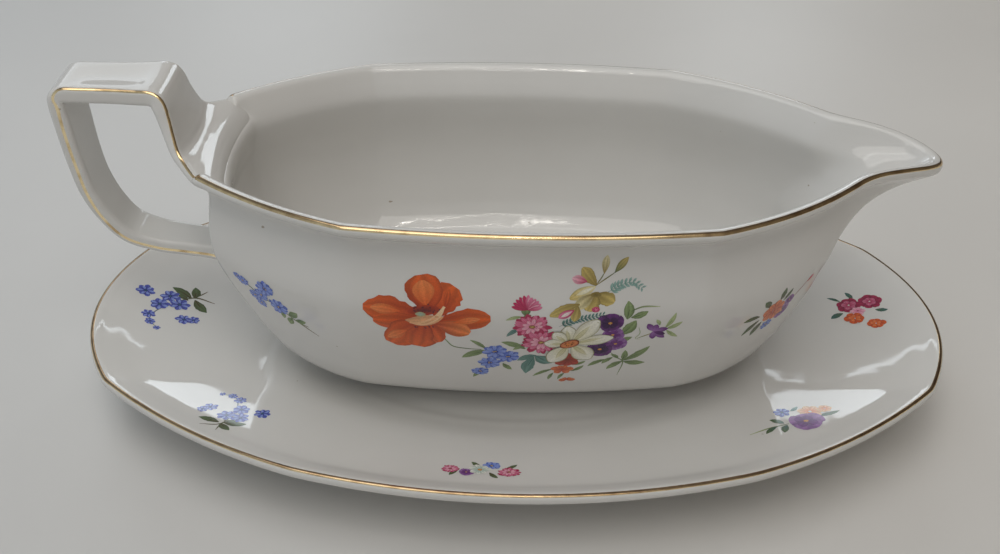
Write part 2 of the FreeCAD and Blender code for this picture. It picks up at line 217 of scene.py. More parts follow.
BOWL_COUNTS = [round(length / POINT_SPACING) for length in (86, 49, 62, 49, 86, 41, 46, 41)]

# At the handle end the lip gives way to the handle's flared root
ROOT_LIP_DROP = 3.2
ROOT_LIP_INSET = 3.2
ROOT_HALF_WIDTH = 20.5


def bowl_ring(z, inset, reach, softness, handle_end):
    spout_end = inset + SPOUT_END_LEAN * smooth_step((SPOUT_ROOT_TOP_Z - z)
                                                     / (SPOUT_ROOT_TOP_Z - SPOUT_ROOT_FOOT_Z))
    rim = [(-LONG_CORNER[0], -LONG_CORNER[1]), (LONG_CORNER[0], -LONG_CORNER[1]),
           (SPOUT_CORNER[0], -SPOUT_CORNER[1]), (SPOUT_CORNER[0], SPOUT_CORNER[1]),
           (LONG_CORNER[0], LONG_CORNER[1]), (-LONG_CORNER[0], LONG_CORNER[1]),
           (HANDLE_CORNER[0], HANDLE_CORNER[1]), (HANDLE_CORNER[0], -HANDLE_CORNER[1])]
    corners = inset_corners(rim, [inset, inset, spout_end, inset, inset, inset, handle_end, inset])
    shrink = (corners[1][0] - corners[0][0]) / (2 * LONG_CORNER[0])
    long_bow = LONG_BOW * shrink
    by_spout = SPOUT_DIAGONAL_BOW * shrink
    by_handle = HANDLE_DIAGONAL_BOW * shrink
    bows = [long_bow, by_spout, reach, by_spout, long_bow, by_handle, HANDLE_END_BOW, by_handle]
    ring = bowed_ring(corners, bows, BOWL_COUNTS, softness)
    rounder = bowed_ring(corners, bows, BOWL_COUNTS, softness + SPOUT_ROOT_SOFTNESS)
    near_spout = np.exp(-((ring[:, 0] - SPOUT_CORNER[0]) / 8.0) ** 2)[:, None] * smooth_step((z - 50.0) / 15.0)
    ring = ring * (1 - near_spout) + rounder * near_spout
    along_spout = np.clip((ring[:, 0] - SPOUT_CORNER[0]) / SPOUT_REACH, 0, 1)
    dip = SPOUT_DIP * along_spout ** 2.2 * smooth_step((z - 52.0) / 18.0)
    at_root = smooth_step((ROOT_HALF_WIDTH - np.abs(ring[:, 1])) / 3.5) * smooth_step((-69.0 - ring[:, 0]) / 3.0)
    ring[:, 0] += at_root * max(0.0, ROOT_LIP_INSET - inset) * smooth_step((z - 71.0) / 2.5)
    drop = at_root * ROOT_LIP_DROP * smooth_step((z - 68.0) / 6.0)
    return np.column_stack([ring, z - dip - drop])


def towards_centre(ring, z, shares):
    centre = np.array([ring[:, 0].mean(), 0.0, z])
    return [centre + (ring - centre) * share for share in shares]


def build_bowl():
    rings = [bowl_ring(*row) for row in through(OUTSIDE + LIP + INSIDE, 0.8)]
    floor_z = INSIDE[-1][0]
    recess_z = STANDING_Z + 2.6
    recess = bowl_ring(recess_z, 27.4, 1.0, 1.6, 34.0)
    underneath = towards_centre(recess, recess_z, (0.04, 0.3, 0.6, 0.85, 1.0))
    floor = towards_centre(rings[-1], floor_z, (0.92, 0.8, 0.65, 0.5, 0.35, 0.2, 0.05))
    for ring in floor:
        share = (ring[0, 0] - ring[:, 0].mean()) / (rings[-1][0, 0] - rings[-1][:, 0].mean())
        ring[:, 2] -= INSIDE_FLOOR_FALL * (1 - share ** 2)
    return capped_rings("bowl_body", underneath + rings + floor)


# ---- gold lines -----------------------------------------------------------------------

GOLD_LIFT = 0.05
GOLD_EDGE_DEPTH = 0.02
GOLD_BACK_DEPTH = 0.15


def band_section(points, outwards):
    """Lens-shaped section of a gold line: points across it on the glaze, and the glaze's normals there."""
    across = np.linspace(-1, 1, len(points))[:, None]
    front = points + outwards * (GOLD_LIFT * (1 - across ** 2) - GOLD_EDGE_DEPTH)
    back = points - outwards * GOLD_BACK_DEPTH
    return np.vstack([front, back[::-1]])


def rim_band(name, rings, keep=None):
    """Gold line that follows a rim: rings are the glaze's points across the line, outer ring first."""
    grid = np.array(rings)                                  # across, along, xyz
    if keep is not None:
        grid = grid[:, keep]
    along = np.gradient(grid, axis=1)
    if keep is None:
        along = np.roll(grid, -1, axis=1) - np.roll(grid, 1, axis=1)
    across = np.gradient(grid, axis=0)
    outwards = np.cross(along, across)
    outwards /= np.linalg.norm(outwards, axis=2)[:, :, None]
    sections = [band_section(grid[:, i], outwards[:, i]) for i in range(grid.shape[1])]
    if keep is None:
        sections.append(sections[0])
        return swept_loop(name, sections[:-1])
    return capped_rings(name, sections)


def swept_loop(name, sections):
    """Closed body whose sections run round a closed loop."""
    count = len(sections[0])
    vertices = np.vstack(sections)
    faces = []
    for s in range(len(sections)):
        a, b = s * count, ((s + 1) % len(sections)) * count
        for i in range(count):
            j = (i + 1) % count
            faces.append((a + i, a + j, b + j, b + i))
    return make_object(name, vertices, faces)


def build_bowl_rim_gold():
    """Gold line over the outer edge of the lip; it stops where the handle grows out of the rim."""
    line = through([(74.1, 0.08, SPOUT_REACH, 0.5, -0.4), (74.45, 0.22, SPOUT_REACH, 0.5, 0.0),
                    (74.7, 0.42, SPOUT_REACH, 0.5, 0.3), (RIM_Z - 0.03, 0.95, SPOUT_REACH, 0.5, 0.95),
                    (RIM_Z - 0.01, 1.2, SPOUT_REACH, 0.5, 1.2)], 0.22)
    total = sum(BOWL_COUNTS)
    first = total - BOWL_COUNTS[7]
    length = total - BOWL_COUNTS[6]
    keep = (np.arange(-1, length + 2) + first) % total
    return rim_band("bowl_rim_gold", [bowl_ring(*row) for row in line], keep)


# ---- underplate -----------------------------------------------------------------------

PLATE_END_BOW = 10.5
PLATE_LONG_BOW = 7.8
PLATE_DIAGONAL_BOW = 3.0
PLATE_COUNTS = [round(length / 1.3) for length in (112, 62, 72, 62) * 2]

# height, size as a share of the rim's outline, further inset, softness of the corners
PLATE_PROFILE = [
    (4.2, 0.49, 0.0, 4.0), (1.4, 0.505, 0.0, 4.0), (0.2, 0.515, 0.0, 4.0), (0.0, 0.528, 0.0, 4.0),
    (0.3, 0.541, 0.0, 4.0), (2.0, 0.549, 0.0, 4.0), (4.2, 0.57, 0.0, 4.0), (6.6, 0.64, 0.0, 3.2),
    (9.2, 0.735, 0.0, 2.4), (12.4, 0.85, 0.0, 1.6), (15.8, 0.95, 0.4, 1.0), (17.6, 0.99, 0.5, 0.9),
    (18.8, 1.0, 0.12, 0.9), (19.8, 1.0, 0.0, 0.9), (20.5, 1.0, 0.12, 0.9), (20.9, 1.0, 0.5, 0.9),
    (PLATE_TOP_Z, 1.0, 1.05, 0.9), (20.85, 1.0, 1.7, 0.9), (20.3, 0.995, 2.4, 0.9), (19.3, 0.965, 2.0, 0.9),
    (17.7, 0.91, 0.8, 0.8), (15.2, 0.80, 0.0, 1.0), (13.3, 0.69, 0.0, 1.4), (12.4, 0.63, 0.0, 2.2),
    (11.7, 0.59, 0.0, 3.0), (10.7, 0.55, 0.0, 3.6), (9.6, 0.51, 0.0, 4.0), (8.9, 0.475, 0.0, 4.0),
    (STANDING_Z + 0.1, 0.44, 0.0, 4.0), (STANDING_Z, 0.41, 0.0, 4.0),
]


def plate_ring(z, share, inset, softness):
    long_corner = (55.0, PLATE_HALF_WIDTH - PLATE_LONG_BOW)
    end_corner = (PLATE_HALF_LENGTH - PLATE_END_BOW, 32.6)
    corners = np.array([(-long_corner[0], -long_corner[1]), (long_corner[0], -long_corner[1]),
                        (end_corner[0], -end_corner[1]), (end_corner[0], end_corner[1]),
                        (long_corner[0], long_corner[1]), (-long_corner[0], long_corner[1]),
                        (-end_corner[0], end_corner[1]), (-end_corner[0], -end_corner[1])])
    bows = [PLATE_LONG_BOW, PLATE_DIAGONAL_BOW, PLATE_END_BOW, PLATE_DIAGONAL_BOW] * 2
    corners = inset_corners(corners * share, [inset] * 8)
    ring = bowed_ring(corners, np.array(bows) * share, PLATE_COUNTS, softness)
    return np.column_stack([ring, np.full(len(ring), z)])


def build_underplate():
    scale = np.array([1.0, PLATE_HALF_WIDTH, 1.0, 1.0])
    profile = through(np.array(PLATE_PROFILE) * scale, 0.9) / scale
    rings = [plate_ring(*row) for row in profile]
    recess = towards_centre(rings[0], profile[0][0], (0.04, 0.25, 0.5, 0.75, 0.93))
    well = towards_centre(rings[-1], profile[-1][0], (0.93, 0.75, 0.5, 0.25, 0.04))
    return capped_rings("underplate_body", recess + rings + well)


def build_plate_gold():
    line = through([(20.7, 1.0, 0.27, 0.9), (20.9, 1.0, 0.5, 0.9), (PLATE_TOP_Z, 1.0, 1.05, 0.9),
                    (20.96, 1.0, 1.25, 0.9)], 0.22)
    return rim_band("underplate_rim_gold", [plate_ring(*row) for row in line])


# ---- handle ---------------------------------------------------------------------------

STRAP_THICKNESS = 4.2
BAR_Z = STRAP_TOP_Z - STRAP_THICKNESS / 2
LEG_X = STRAP_END_X + STRAP_THICKNESS / 2
CORNER_RADIUS = 2.1


def corner_rows():
    """The bend from the thumb rest down into the outer leg: a quarter circle."""
    rows = []
    for degrees in (90, 112, 135, 158, 180):
        a = math.radians(degrees)
        rows.append((LEG_X - 0.6 + CORNER_RADIUS + CORNER_RADIUS * math.cos(a),
                     BAR_Z - CORNER_RADIUS + CORNER_RADIUS * math.sin(a), 8.0, 4.1, 1.3, 0.0, 0.0,
                     0.4 + 2.1 * (degrees - 90) / 90))
    return rows


def strap_rows():
    """The strap from the rim to the lower leg: x, z, half width, thickness, radius of its long edges,
    how far its section's ends lie inwards of the middle, dish of the outer face, place of the gold line."""
    return [
        (-76.3, 62.5, 16.6, 2.0, 0.9, 2.1, 0.0, 0.5),
        (-75.8, 66.0, 17.8, 2.0, 0.9, 2.3, 0.0, 0.5),
        (-76.0, 68.3, 19.0, 2.1, 1.0, 2.3, 0.0, 0.5),
        (-76.8, 70.2, 20.3, 2.2, 1.0, 2.2, 0.0, 0.5),
        (-78.2, 71.8, 21.4, 2.4, 1.1, 1.7, 0.0, 0.5),
        (-80.2, 73.0, 21.0, 2.5, 1.2, 1.0, 0.0, 0.5),
        (-81.8, 73.9, 18.4, 2.5, 1.2, 0.3, 0.0, 0.5),
        (-83.0, 74.9, 15.8, 2.6, 1.2, -0.5, 0.0, 0.5),
        (-83.9, 76.2, 14.4, 2.7, 1.2, -0.9, 0.0, 0.5),
        (-85.4, 79.2, 12.7, 3.0, 1.2, -0.6, 0.0, 0.5),
        (-87.0, 83.3, 11.0, 3.5, 1.3, -0.2, 0.0, 0.5),
        (-87.9, 85.9, 10.3, 3.9, 1.3, 0.0, 0.0, 0.5),
        (-88.8, BAR_Z - 0.7, 9.7, 4.1, 1.3, 0.0, 0.0, 0.4),
        (-90.3, BAR_Z, 9.2, 4.2, 1.3, 0.0, 0.1, 0.4),
        (-93.8, BAR_Z, 8.7, 4.2, 1.3, 0.0, 0.4, 0.4),
        (-101.0, BAR_Z, 8.1, 4.2, 1.3, 0.0, 0.6, 0.4),
        (-107.5, BAR_Z, 8.0, 4.2, 1.3, 0.0, 0.45, 0.4),
    ] + corner_rows() + [
        (LEG_X - 0.1, 78.0, 7.8, 4.2, 1.3, 0.0, 0.0, 2.5),
        (LEG_X + 0.7, 68.0, 7.2, 4.2, 1.3, 0.0, 0.0, 2.5),
        (LEG_X + 2.0, 60.0, 6.8, 4.2, 1.3, 0.0, 0.0, 2.3),
        (LEG_X + 4.9, 52.8, 6.3, 4.2, 1.3, 0.0, 0.0, 1.9),
        (-103.4, 47.0, 5.9, 4.2, 1.3, 0.0, 0.0, 1.9),
        (-96.0, 43.9, 5.5, 4.2, 1.3, 0.0, 0.0, 1.9),
        (-88.0, 42.5, 5.2, 4.2, 1.3, 0.0, 0.0, 1.9),
        (-81.4, 41.5, 5.2, 4.5, 1.3, 0.0, 0.0, 1.9),
        (-78.2, 40.9, 5.8, 5.6, 1.5, 0.0, 0.0, 1.9),
        (-74.4, 40.2, 7.0, 7.2, 1.6, 0.0, 0.0, 1.9),
    ]


class Strap:
    """The strap's path with its frame: middle, along, outwards, and the shape of every section."""

    def __init__(self):
        self.rows = through(strap_rows(), 0.45)
        along = np.gradient(self.rows[:, :2], axis=0)
        along /= np.linalg.norm(along, axis=1)[:, None]
        self.outwards = np.column_stack([along[:, 1], -along[:, 0]])

    def place(self, station, across, depth):
        """Point in space of a section's point; depth is counted outwards from the middle."""
        x, z, half_width, _, _, lean, _, _ = self.rows[station]
        nx, nz = self.outwards[station]
        return (x + nx * depth + lean * (across / half_width) ** 2, across, z + nz * depth)

    def section(self, station):
        _, _, half_width, thickness, radius, _, dish, _ = self.rows[station]
        flat_y, flat_d = half_width - radius, thickness / 2 - radius
        outline = []
        for t in np.linspace(-1, 1, 25):
            outline.append((flat_y * t, thickness / 2 - dish * (1 - t * t) ** 2))
        for k in range(1, 8):
            a = math.pi / 2 * (1 - k / 7)
            outline.append((flat_y + radius * math.cos(a), flat_d + radius * math.sin(a)))
        for k in range(7):
            a = -math.pi / 2 * k / 7
            outline.append((flat_y + radius * math.cos(a), -flat_d + radius * math.sin(a)))
        for t in np.linspace(1, -1, 25):
            outline.append((flat_y * t, -thickness / 2))
        for k in range(1, 8):
            a = -math.pi / 2 - math.pi / 2 * k / 7
            outline.append((-flat_y + radius * math.cos(a), -flat_d + radius * math.sin(a)))
        for k in range(7):
            a = math.pi - math.pi / 2 * k / 7
            outline.append((-flat_y + radius * math.cos(a), flat_d + radius * math.sin(a)))
        return np.array([self.place(station, y, d) for y, d in outline])

    def edge_point(self, station, side, distance):
        """Point on the section's outer long edge, distance along the outline from where it starts to round."""
        _, _, half_width, thickness, radius, _, _, _ = self.rows[station]
        flat_y, flat_d = half_width - radius, thickness / 2 - radius
        quarter = radius * math.pi / 2
        if distance < 0:
            y, d = flat_y + distance, thickness / 2
        elif distance < quarter:
            a = math.pi / 2 - distance / radius
            y, d = flat_y + radius * math.cos(a), flat_d + radius * math.sin(a)
        else:
            y, d = half_width, flat_d - (distance - quarter)
        return self.place(station, side * y, d)


def build_handle(strap):
    return capped_rings("strap_handle", [strap.section(i) for i in range(len(strap.rows))])


def build_handle_gold(strap):
    """A gold line along each side of the strap, near its outer edge."""
    width = 1.05
    first = int(np.argmax(strap.rows[:, 1] > 72.5))
    last = int(np.max(np.nonzero(strap.rows[:, 0] < -77.5)))
    lines = []
    for side in (-1, 1):
        rings = []
        for part in np.linspace(0, 1, 6):
            ring = []
            for station in range(first, last):
                start = strap.rows[station][7]
                ring.append(strap.edge_point(station, side, start + width * part))
            rings.append(ring)
        if side > 0:
            rings = rings[::-1]
        lines.append(rim_band("handle_gold_" + ("front" if side < 0 else "back"), rings,
                              np.arange(last - first)))
    return lines


# ---- printed flowers ------------------------------------------------------------------

def tint(red, green, blue):
    """Linear colour from the eye's 0 to 255 scale."""
    return np.array([(c / 255) ** 2.2 for c in (red, green, blue)])


POPPY, POPPY_DARK, POPPY_LIGHT = tint(226, 100, 42), tint(180, 62, 28), tint(242, 138, 76)
CREAM, PEACH, STAMEN = tint(246, 214, 170), tint(240, 176, 128), tint(92, 40, 44)
BLUE, BLUE_DARK, BLUE_LIGHT = tint(98, 124, 214), tint(58, 76, 168), tint(158, 178, 238)
CRIMSON, PINK, PALE_PINK = tint(196, 52, 96), tint(232, 132, 166), tint(246, 190, 204)
WHITE, IVORY, OLIVE_SHADE = tint(246, 244, 232), tint(232, 226, 190), tint(196, 190, 138)
AMBER, AMBER_DARK = tint(222, 134, 58), tint(132, 62, 30)
PURPLE, PURPLE_DARK, LILAC = tint(108, 52, 124), tint(62, 28, 78), tint(160, 112, 176)
STRAW, STRAW_DARK, STRAW_PALE = tint(208, 184, 108), tint(148, 128, 68), tint(238, 226, 178)
LEAF, LEAF_DARK, LEAF_PALE = tint(140, 160, 108), tint(88, 108, 70), tint(182, 194, 142)
TEAL, TEAL_DARK, TEAL_PALE = tint(112, 152, 142), tint(66, 104, 100), tint(164, 194, 186)
RUST, ORANGE, BROWN = tint(188, 70, 54), tint(238, 138, 84), tint(104, 78, 52)
VIOLET, VIOLET_DARK = tint(94, 104, 194), tint(50, 56, 136)


ENAMEL_LIFT = 0.03
STROKE_LIFT = 0.0022


class Painting:
    """Brush strokes on a flat sheet, in (across, up) millimetres, that are then laid on the glaze."""

    def __init__(self, seed, at=(0.0, 0.0), turn=0.0, size=1.0):
        self.dice = random.Random(seed)
        self.points = []
        self.colours = []
        self.faces = []
        self.lifts = []
        self.boxes = []                 # left, right, low, high and level of each stroke so far
        self.set(at, turn, size)

    def set(self, at, turn=0.0, size=1.0):
        """Place, turn in degrees and scale of whatever is painted next."""
        self.at = np.array(at, float)
        self.size = size
        c, s = math.cos(math.radians(turn)), math.sin(math.radians(turn))
        self.axes = np.array([[c, s], [-s, c]])

    def add(self, grid, colours, closed=False):
        """One stroke: a grid of points, rows by columns, with a colour each."""
        rows, columns = grid.shape[:2]
        first = len(self.points)
        flat = grid.reshape(-1, 2) * self.size @ self.axes + self.at
        self.points.extend(flat)
        self.colours.extend(np.clip(colours.reshape(-1, 3), 0, 1))
        self.lifts.extend([self.level_over(flat)] * len(flat))
        across = columns if closed else columns - 1
        for r in range(rows - 1):
            for c in range(across):
                a, b = first + r * columns + c, first + r * columns + (c + 1) % columns
                self.faces.append((a, b, b + columns, a + columns))

    def level_over(self, flat):
        """How many strokes lie under this one at its thickest."""
        left, low = flat.min(0)
        right, high = flat.max(0)
        under = 0
        for x0, x1, y0, y1, level in self.boxes:
            if x0 < right and x1 > left and y0 < high and y1 > low:
                under = max(under, level)
        self.boxes.append((left, right, low, high, under + 1))
        return under + 1

    def petal(self, base, angle, length, width, inner, outer, peak=1.5, blunt=0.6, curl=0.0, streaks=0.22,
              ragged=0.0):
        """A petal or leaf from its base along angle; peak moves its widest place towards the tip."""
        rows, columns = 12, 9
        t = np.linspace(0, 1, rows)
        heading = np.radians(angle) + math.radians(curl) * (t - 0.3)
        step = length / (rows - 1)
        spine = np.array(base) + np.cumsum(np.column_stack([np.cos(heading), np.sin(heading)]) * step, axis=0)
        spine -= np.array([np.cos(heading[0]), np.sin(heading[0])]) * step
        half = width / 2 * np.sin(np.pi * np.clip(t, 0.02, 0.985) ** peak) ** blunt
        left = half * (1 + np.array([self.dice.uniform(-ragged, ragged) for _ in t]))
        right = half * (1 + np.array([self.dice.uniform(-ragged, ragged) for _ in t]))
        s = np.linspace(-1, 1, columns)
        reach = np.where(s[None, :] < 0, left[:, None], right[:, None]) * s[None, :]
        side = np.column_stack([-np.sin(heading), np.cos(heading)])
        grid = spine[:, None, :] + reach[:, :, None] * side[:, None, :]
        phase, count = self.dice.uniform(0, 6), self.dice.uniform(6, 9)
        wave = np.sin(s * count + phase)[None, :] * (0.4 + 0.6 * t[:, None])
        blend = np.clip(t[:, None] + 0.25 * wave * (1 - t[:, None]), 0, 1)[:, :, None]
        colours = inner * (1 - blend) + outer * blend
        shade = 1 + streaks * wave - 0.22 * np.abs(s[None, :]) ** 3
        self.add(grid, colours * shade[:, :, None])

    def leaf(self, base, tip, width, colour=None, dark=None, curl=25.0):
        colour = LEAF if colour is None else colour
        dark = LEAF_DARK if dark is None else dark
        reach = np.subtract(tip, base)
        angle = math.degrees(math.atan2(reach[1], reach[0]))
        length = float(np.hypot(*reach))
        self.petal(base, angle, length, width, (dark + colour) / 2, colour, peak=1.0, blunt=0.8, curl=curl,
                   streaks=0.24, ragged=0.08)
        self.stroke([base, tuple(np.array(base) + reach * 0.55)], 0.10, dark, dark * 0.8)

    def stroke(self, points, half_width, start, end):
        """A drawn line that thins towards both ends."""
        path = through([tuple(p) for p in points], 0.35)
        along = np.gradient(path, axis=0)
        along /= np.linalg.norm(along, axis=1)[:, None]
        side = np.column_stack([-along[:, 1], along[:, 0]])
        t = np.linspace(0, 1, len(path))
        half = half_width * np.sin(np.pi * np.clip(t, 0.06, 0.94)) ** 0.5
        grid = np.stack([path - side * half[:, None], path + side * half[:, None]], axis=1)
        colours = start * (1 - t[:, None]) + end * t[:, None]
        self.add(grid, np.repeat(colours[:, None, :], 2, axis=1))

    def disc(self, at, across, up, inner, outer, turn=0.0, rings=4, ragged=0.06):
        angles = np.linspace(0, 2 * math.pi, 18, endpoint=False)
        wobble = np.array([1 + self.dice.uniform(-ragged, ragged) for _ in angles])
        c, s = math.cos(math.radians(turn)), math.sin(math.radians(turn))
        grid, colours = [], []
        for share in np.linspace(0.02, 1, rings):
            x = across * share * np.cos(angles) * wobble
            y = up * share * np.sin(angles) * wobble
            grid.append(np.column_stack([at[0] + x * c - y * s, at[1] + x * s + y * c]))
            colours.append(np.tile(inner * (1 - share) + outer * share, (len(angles), 1)))
        self.add(np.array(grid), np.array(colours), closed=True)

    def whorl(self, at, radius, petals, width, inner, outer, flatten=1.0, turn=0.0, blunt=0.6, peak=1.3,
              start=0.12, ragged=0.05):
        """Petals all round a centre; flatten squeezes the flower upwards and downwards."""
        for i in range(petals):
            a = math.radians(turn + 360 / petals * i + self.dice.uniform(-8, 8))
            reach = radius * self.dice.uniform(0.86, 1.08)
            tip = np.array([math.cos(a), math.sin(a) * flatten]) * reach
            length = float(np.hypot(*tip))
            angle = math.degrees(math.atan2(tip[1], tip[0]))
            self.petal(tuple(np.array(at) + tip * start), angle, length * (1 - start), width, inner, outer,
                       peak=peak, blunt=blunt, curl=self.dice.uniform(-14, 14), ragged=ragged)

    def specks(self, at, across, up, count, size, colour):
        for _ in range(count):
            a, r = self.dice.uniform(0, 2 * math.pi), self.dice.uniform(0.3, 1.0)
            spot = (at[0] + across * r * math.cos(a), at[1] + up * r * math.sin(a))
            self.disc(spot, size, size, colour, colour, rings=2)

    def lay(self, name, surfaces, origin, across, up, facing):
        """Projects the sheet along -facing onto the nearest glaze and makes one thin mesh of it."""
        origin, across, up, facing = (Vector(v) for v in (origin, across, up, facing))
        vertices, landed = [], []
        for (u, v), lift in zip(self.points, self.lifts):
            start = (origin + across * u + up * v) * MM + facing * 0.2
            best = None
            for tree in surfaces:
                spot, normal, _, distance = tree.ray_cast(start, -facing)
                if spot is not None and (best is None or distance < best[2]):
                    best = (spot, normal, distance)
            if best is None:
                vertices.append(start / MM)
                landed.append(False)
                continue
            landed.append(True)
            vertices.append((best[0] + best[1] * (ENAMEL_LIFT + STROKE_LIFT * lift) * MM) / MM)
        faces = [f for f in self.faces if all(landed[i] for i in f)]
        piece = make_object(name, vertices, faces)
        layer = piece.data.color_attributes.new("paint", "FLOAT_COLOR", "POINT")
        rows = np.ones((len(self.colours), 4))
        rows[:, :3] = self.colours
        layer.data.foreach_set("color", rows.ravel())
        return piece


def poppy(p):
    p.petal((-21.6, 50.3), 66, 9.6, 7.4, POPPY_DARK, POPPY, peak=1.8, blunt=0.36, curl=-14, ragged=0.18)
    p.petal((-23.6, 51.8), 96, 9.6, 9.0, POPPY_DARK, POPPY, peak=1.6, blunt=0.42, curl=10, ragged=0.08)
    p.petal((-25.6, 50.6), 172, 13.2, 7.6, POPPY_DARK, POPPY, peak=1.1, blunt=0.5, curl=8, ragged=0.14)
    p.petal((-25.0, 49.6), 190, 11.6, 5.6, POPPY_DARK, POPPY, peak=1.5, blunt=0.5, curl=-14)
    p.petal((-22.4, 48.4), 12, 13.8, 6.6, POPPY_DARK, POPPY, peak=1.7, blunt=0.5, curl=-12, ragged=0.08)
    p.petal((-22.2, 48.0), -12, 9.0, 5.2, POPPY_DARK, POPPY_LIGHT, peak=1.5, blunt=0.5, curl=-20)
    p.petal((-23.8, 48.8), 292, 7.8, 5.2, POPPY_DARK, POPPY, peak=1.6, blunt=0.45, ragged=0.1)
    p.petal((-24.0, 48.8), 219, 12.2, 8.0, POPPY_DARK, POPPY, peak=1.7, blunt=0.34, curl=26, ragged=0.15)
    p.petal((-24.4, 48.6), 258, 9.2, 7.6, POPPY_DARK, POPPY, peak=1.9, blunt=0.34, ragged=0.15)
    p.petal((-23.9, 53.6), 98, 6.4, 5.2, POPPY, POPPY_LIGHT, peak=1.4, blunt=0.6, streaks=0.12)
    p.petal((-30.0, 51.6), 176, 7.0, 3.0, POPPY, POPPY_LIGHT, peak=1.2, blunt=0.7, streaks=0.12)
    p.petal((-28.6, 45.4), 214, 5.6, 3.0, POPPY, POPPY_LIGHT, peak=1.2, blunt=0.7, streaks=0.12)
    p.petal((-17.6, 48.8), 14, 6.6, 2.2, POPPY, POPPY_LIGHT, peak=1.2, blunt=0.8, streaks=0.12)
    p.petal((-19.4, 53.3), 80, 5.0, 1.6, POPPY_DARK, POPPY, peak=1.2, blunt=0.7)
    p.disc((-24.4, 52.2), 4.0, 1.5, STAMEN, POPPY_DARK, turn=10)
    p.specks((-24.5, 52.4), 4.6, 1.7, 26, 0.20, STAMEN)
    p.petal((-28.8, 48.9), 2, 9.2, 3.4, PEACH * 0.8, PEACH, peak=1.0, blunt=0.8, curl=34, streaks=0.15)
    p.stroke([(-27.8, 48.2), (-25.4, 47.9), (-23.2, 48.8), (-21.2, 50.6), (-19.6, 53.6)], 0.75, PEACH, CREAM)
    p.disc((-25.2, 51.0), 1.2, 0.7, TEAL_PALE * 0.8, OLIVE_SHADE * 0.8)
    p.specks((-24.6, 46.9), 3.6, 0.5, 12, 0.18, STAMEN)


def aster(p, at, radius, flatten=0.75, turn=0.0):
    p.whorl(at, radius, 17, radius * 0.36, CRIMSON, CRIMSON * 0.8, flatten, turn)
    p.whorl(at, radius * 0.9, 15, radius * 0.28, CRIMSON, PINK, flatten, turn + 9)
    p.whorl(at, radius * 0.6, 9, radius * 0.22, PINK, PALE_PINK, flatten, turn + 4)
    p.disc(at, radius * 0.17, radius * 0.13, STRAW, AMBER_DARK)
    p.specks(at, radius * 0.26, radius * 0.2, 10, 0.12, CRIMSON * 0.5)


def cornflower(p, at, radius, flatten=0.85, turn=0.0):
    p.whorl(at, radius, 9, radius * 0.50, BLUE_DARK, BLUE, flatten, turn, ragged=0.2)
    p.whorl(at, radius * 0.92, 8, radius * 0.34, BLUE, BLUE_LIGHT, flatten, turn + 20, ragged=0.25)
    p.disc(at, radius * 0.24, radius * 0.18, BLUE_DARK * 0.3, BLUE_DARK)
    p.specks(at, radius * 0.18, radius * 0.12, 4, 0.16, STRAW)


def pansy(p, at, radius, dark=None, light=None, turn=0.0):
    dark = PURPLE_DARK if dark is None else dark
    light = PURPLE if light is None else light
    p.whorl(at, radius, 5, radius * 1.15, dark, light, 0.85, turn, blunt=0.45, peak=1.5, ragged=0.1)
    p.whorl(at, radius * 0.7, 4, radius * 0.6, dark * 0.8, dark * 1.3, 0.85, turn + 30, blunt=0.5)
    p.disc(at, radius * 0.14, radius * 0.10, STRAW, AMBER)


def daisy(p, at):
    x, y = at
    for angle, length, width in ((98, 6.4, 3.6), (134, 5.8, 3.2), (176, 6.0, 3.0), (240, 8.6, 4.8),
                                 (310, 8.4, 5.2), (12, 10.4, 3.3), (53, 10.4, 4.4)):
        a = math.radians(angle)
        base = (x + 1.0 * math.cos(a), y + 0.8 * math.sin(a))
        p.petal(base, angle, length - 0.8, width * 1.08, OLIVE_SHADE * 0.72, OLIVE_SHADE * 0.8, peak=1.3,
                blunt=0.6)
        p.petal(base, angle, length - 1.0, width, IVORY, WHITE, peak=1.3, blunt=0.6, streaks=0.07)
        p.petal(base, angle + 4, length * 0.66, width * 0.30, OLIVE_SHADE, IVORY, peak=1.0, blunt=0.9,
                streaks=0.1)
    p.disc(at, 2.5, 1.45, AMBER_DARK, AMBER_DARK, turn=24)
    p.disc(at, 2.2, 1.15, AMBER, ORANGE * 0.8, turn=24)
    p.specks(at, 1.5, 0.8, 16, 0.16, AMBER_DARK)


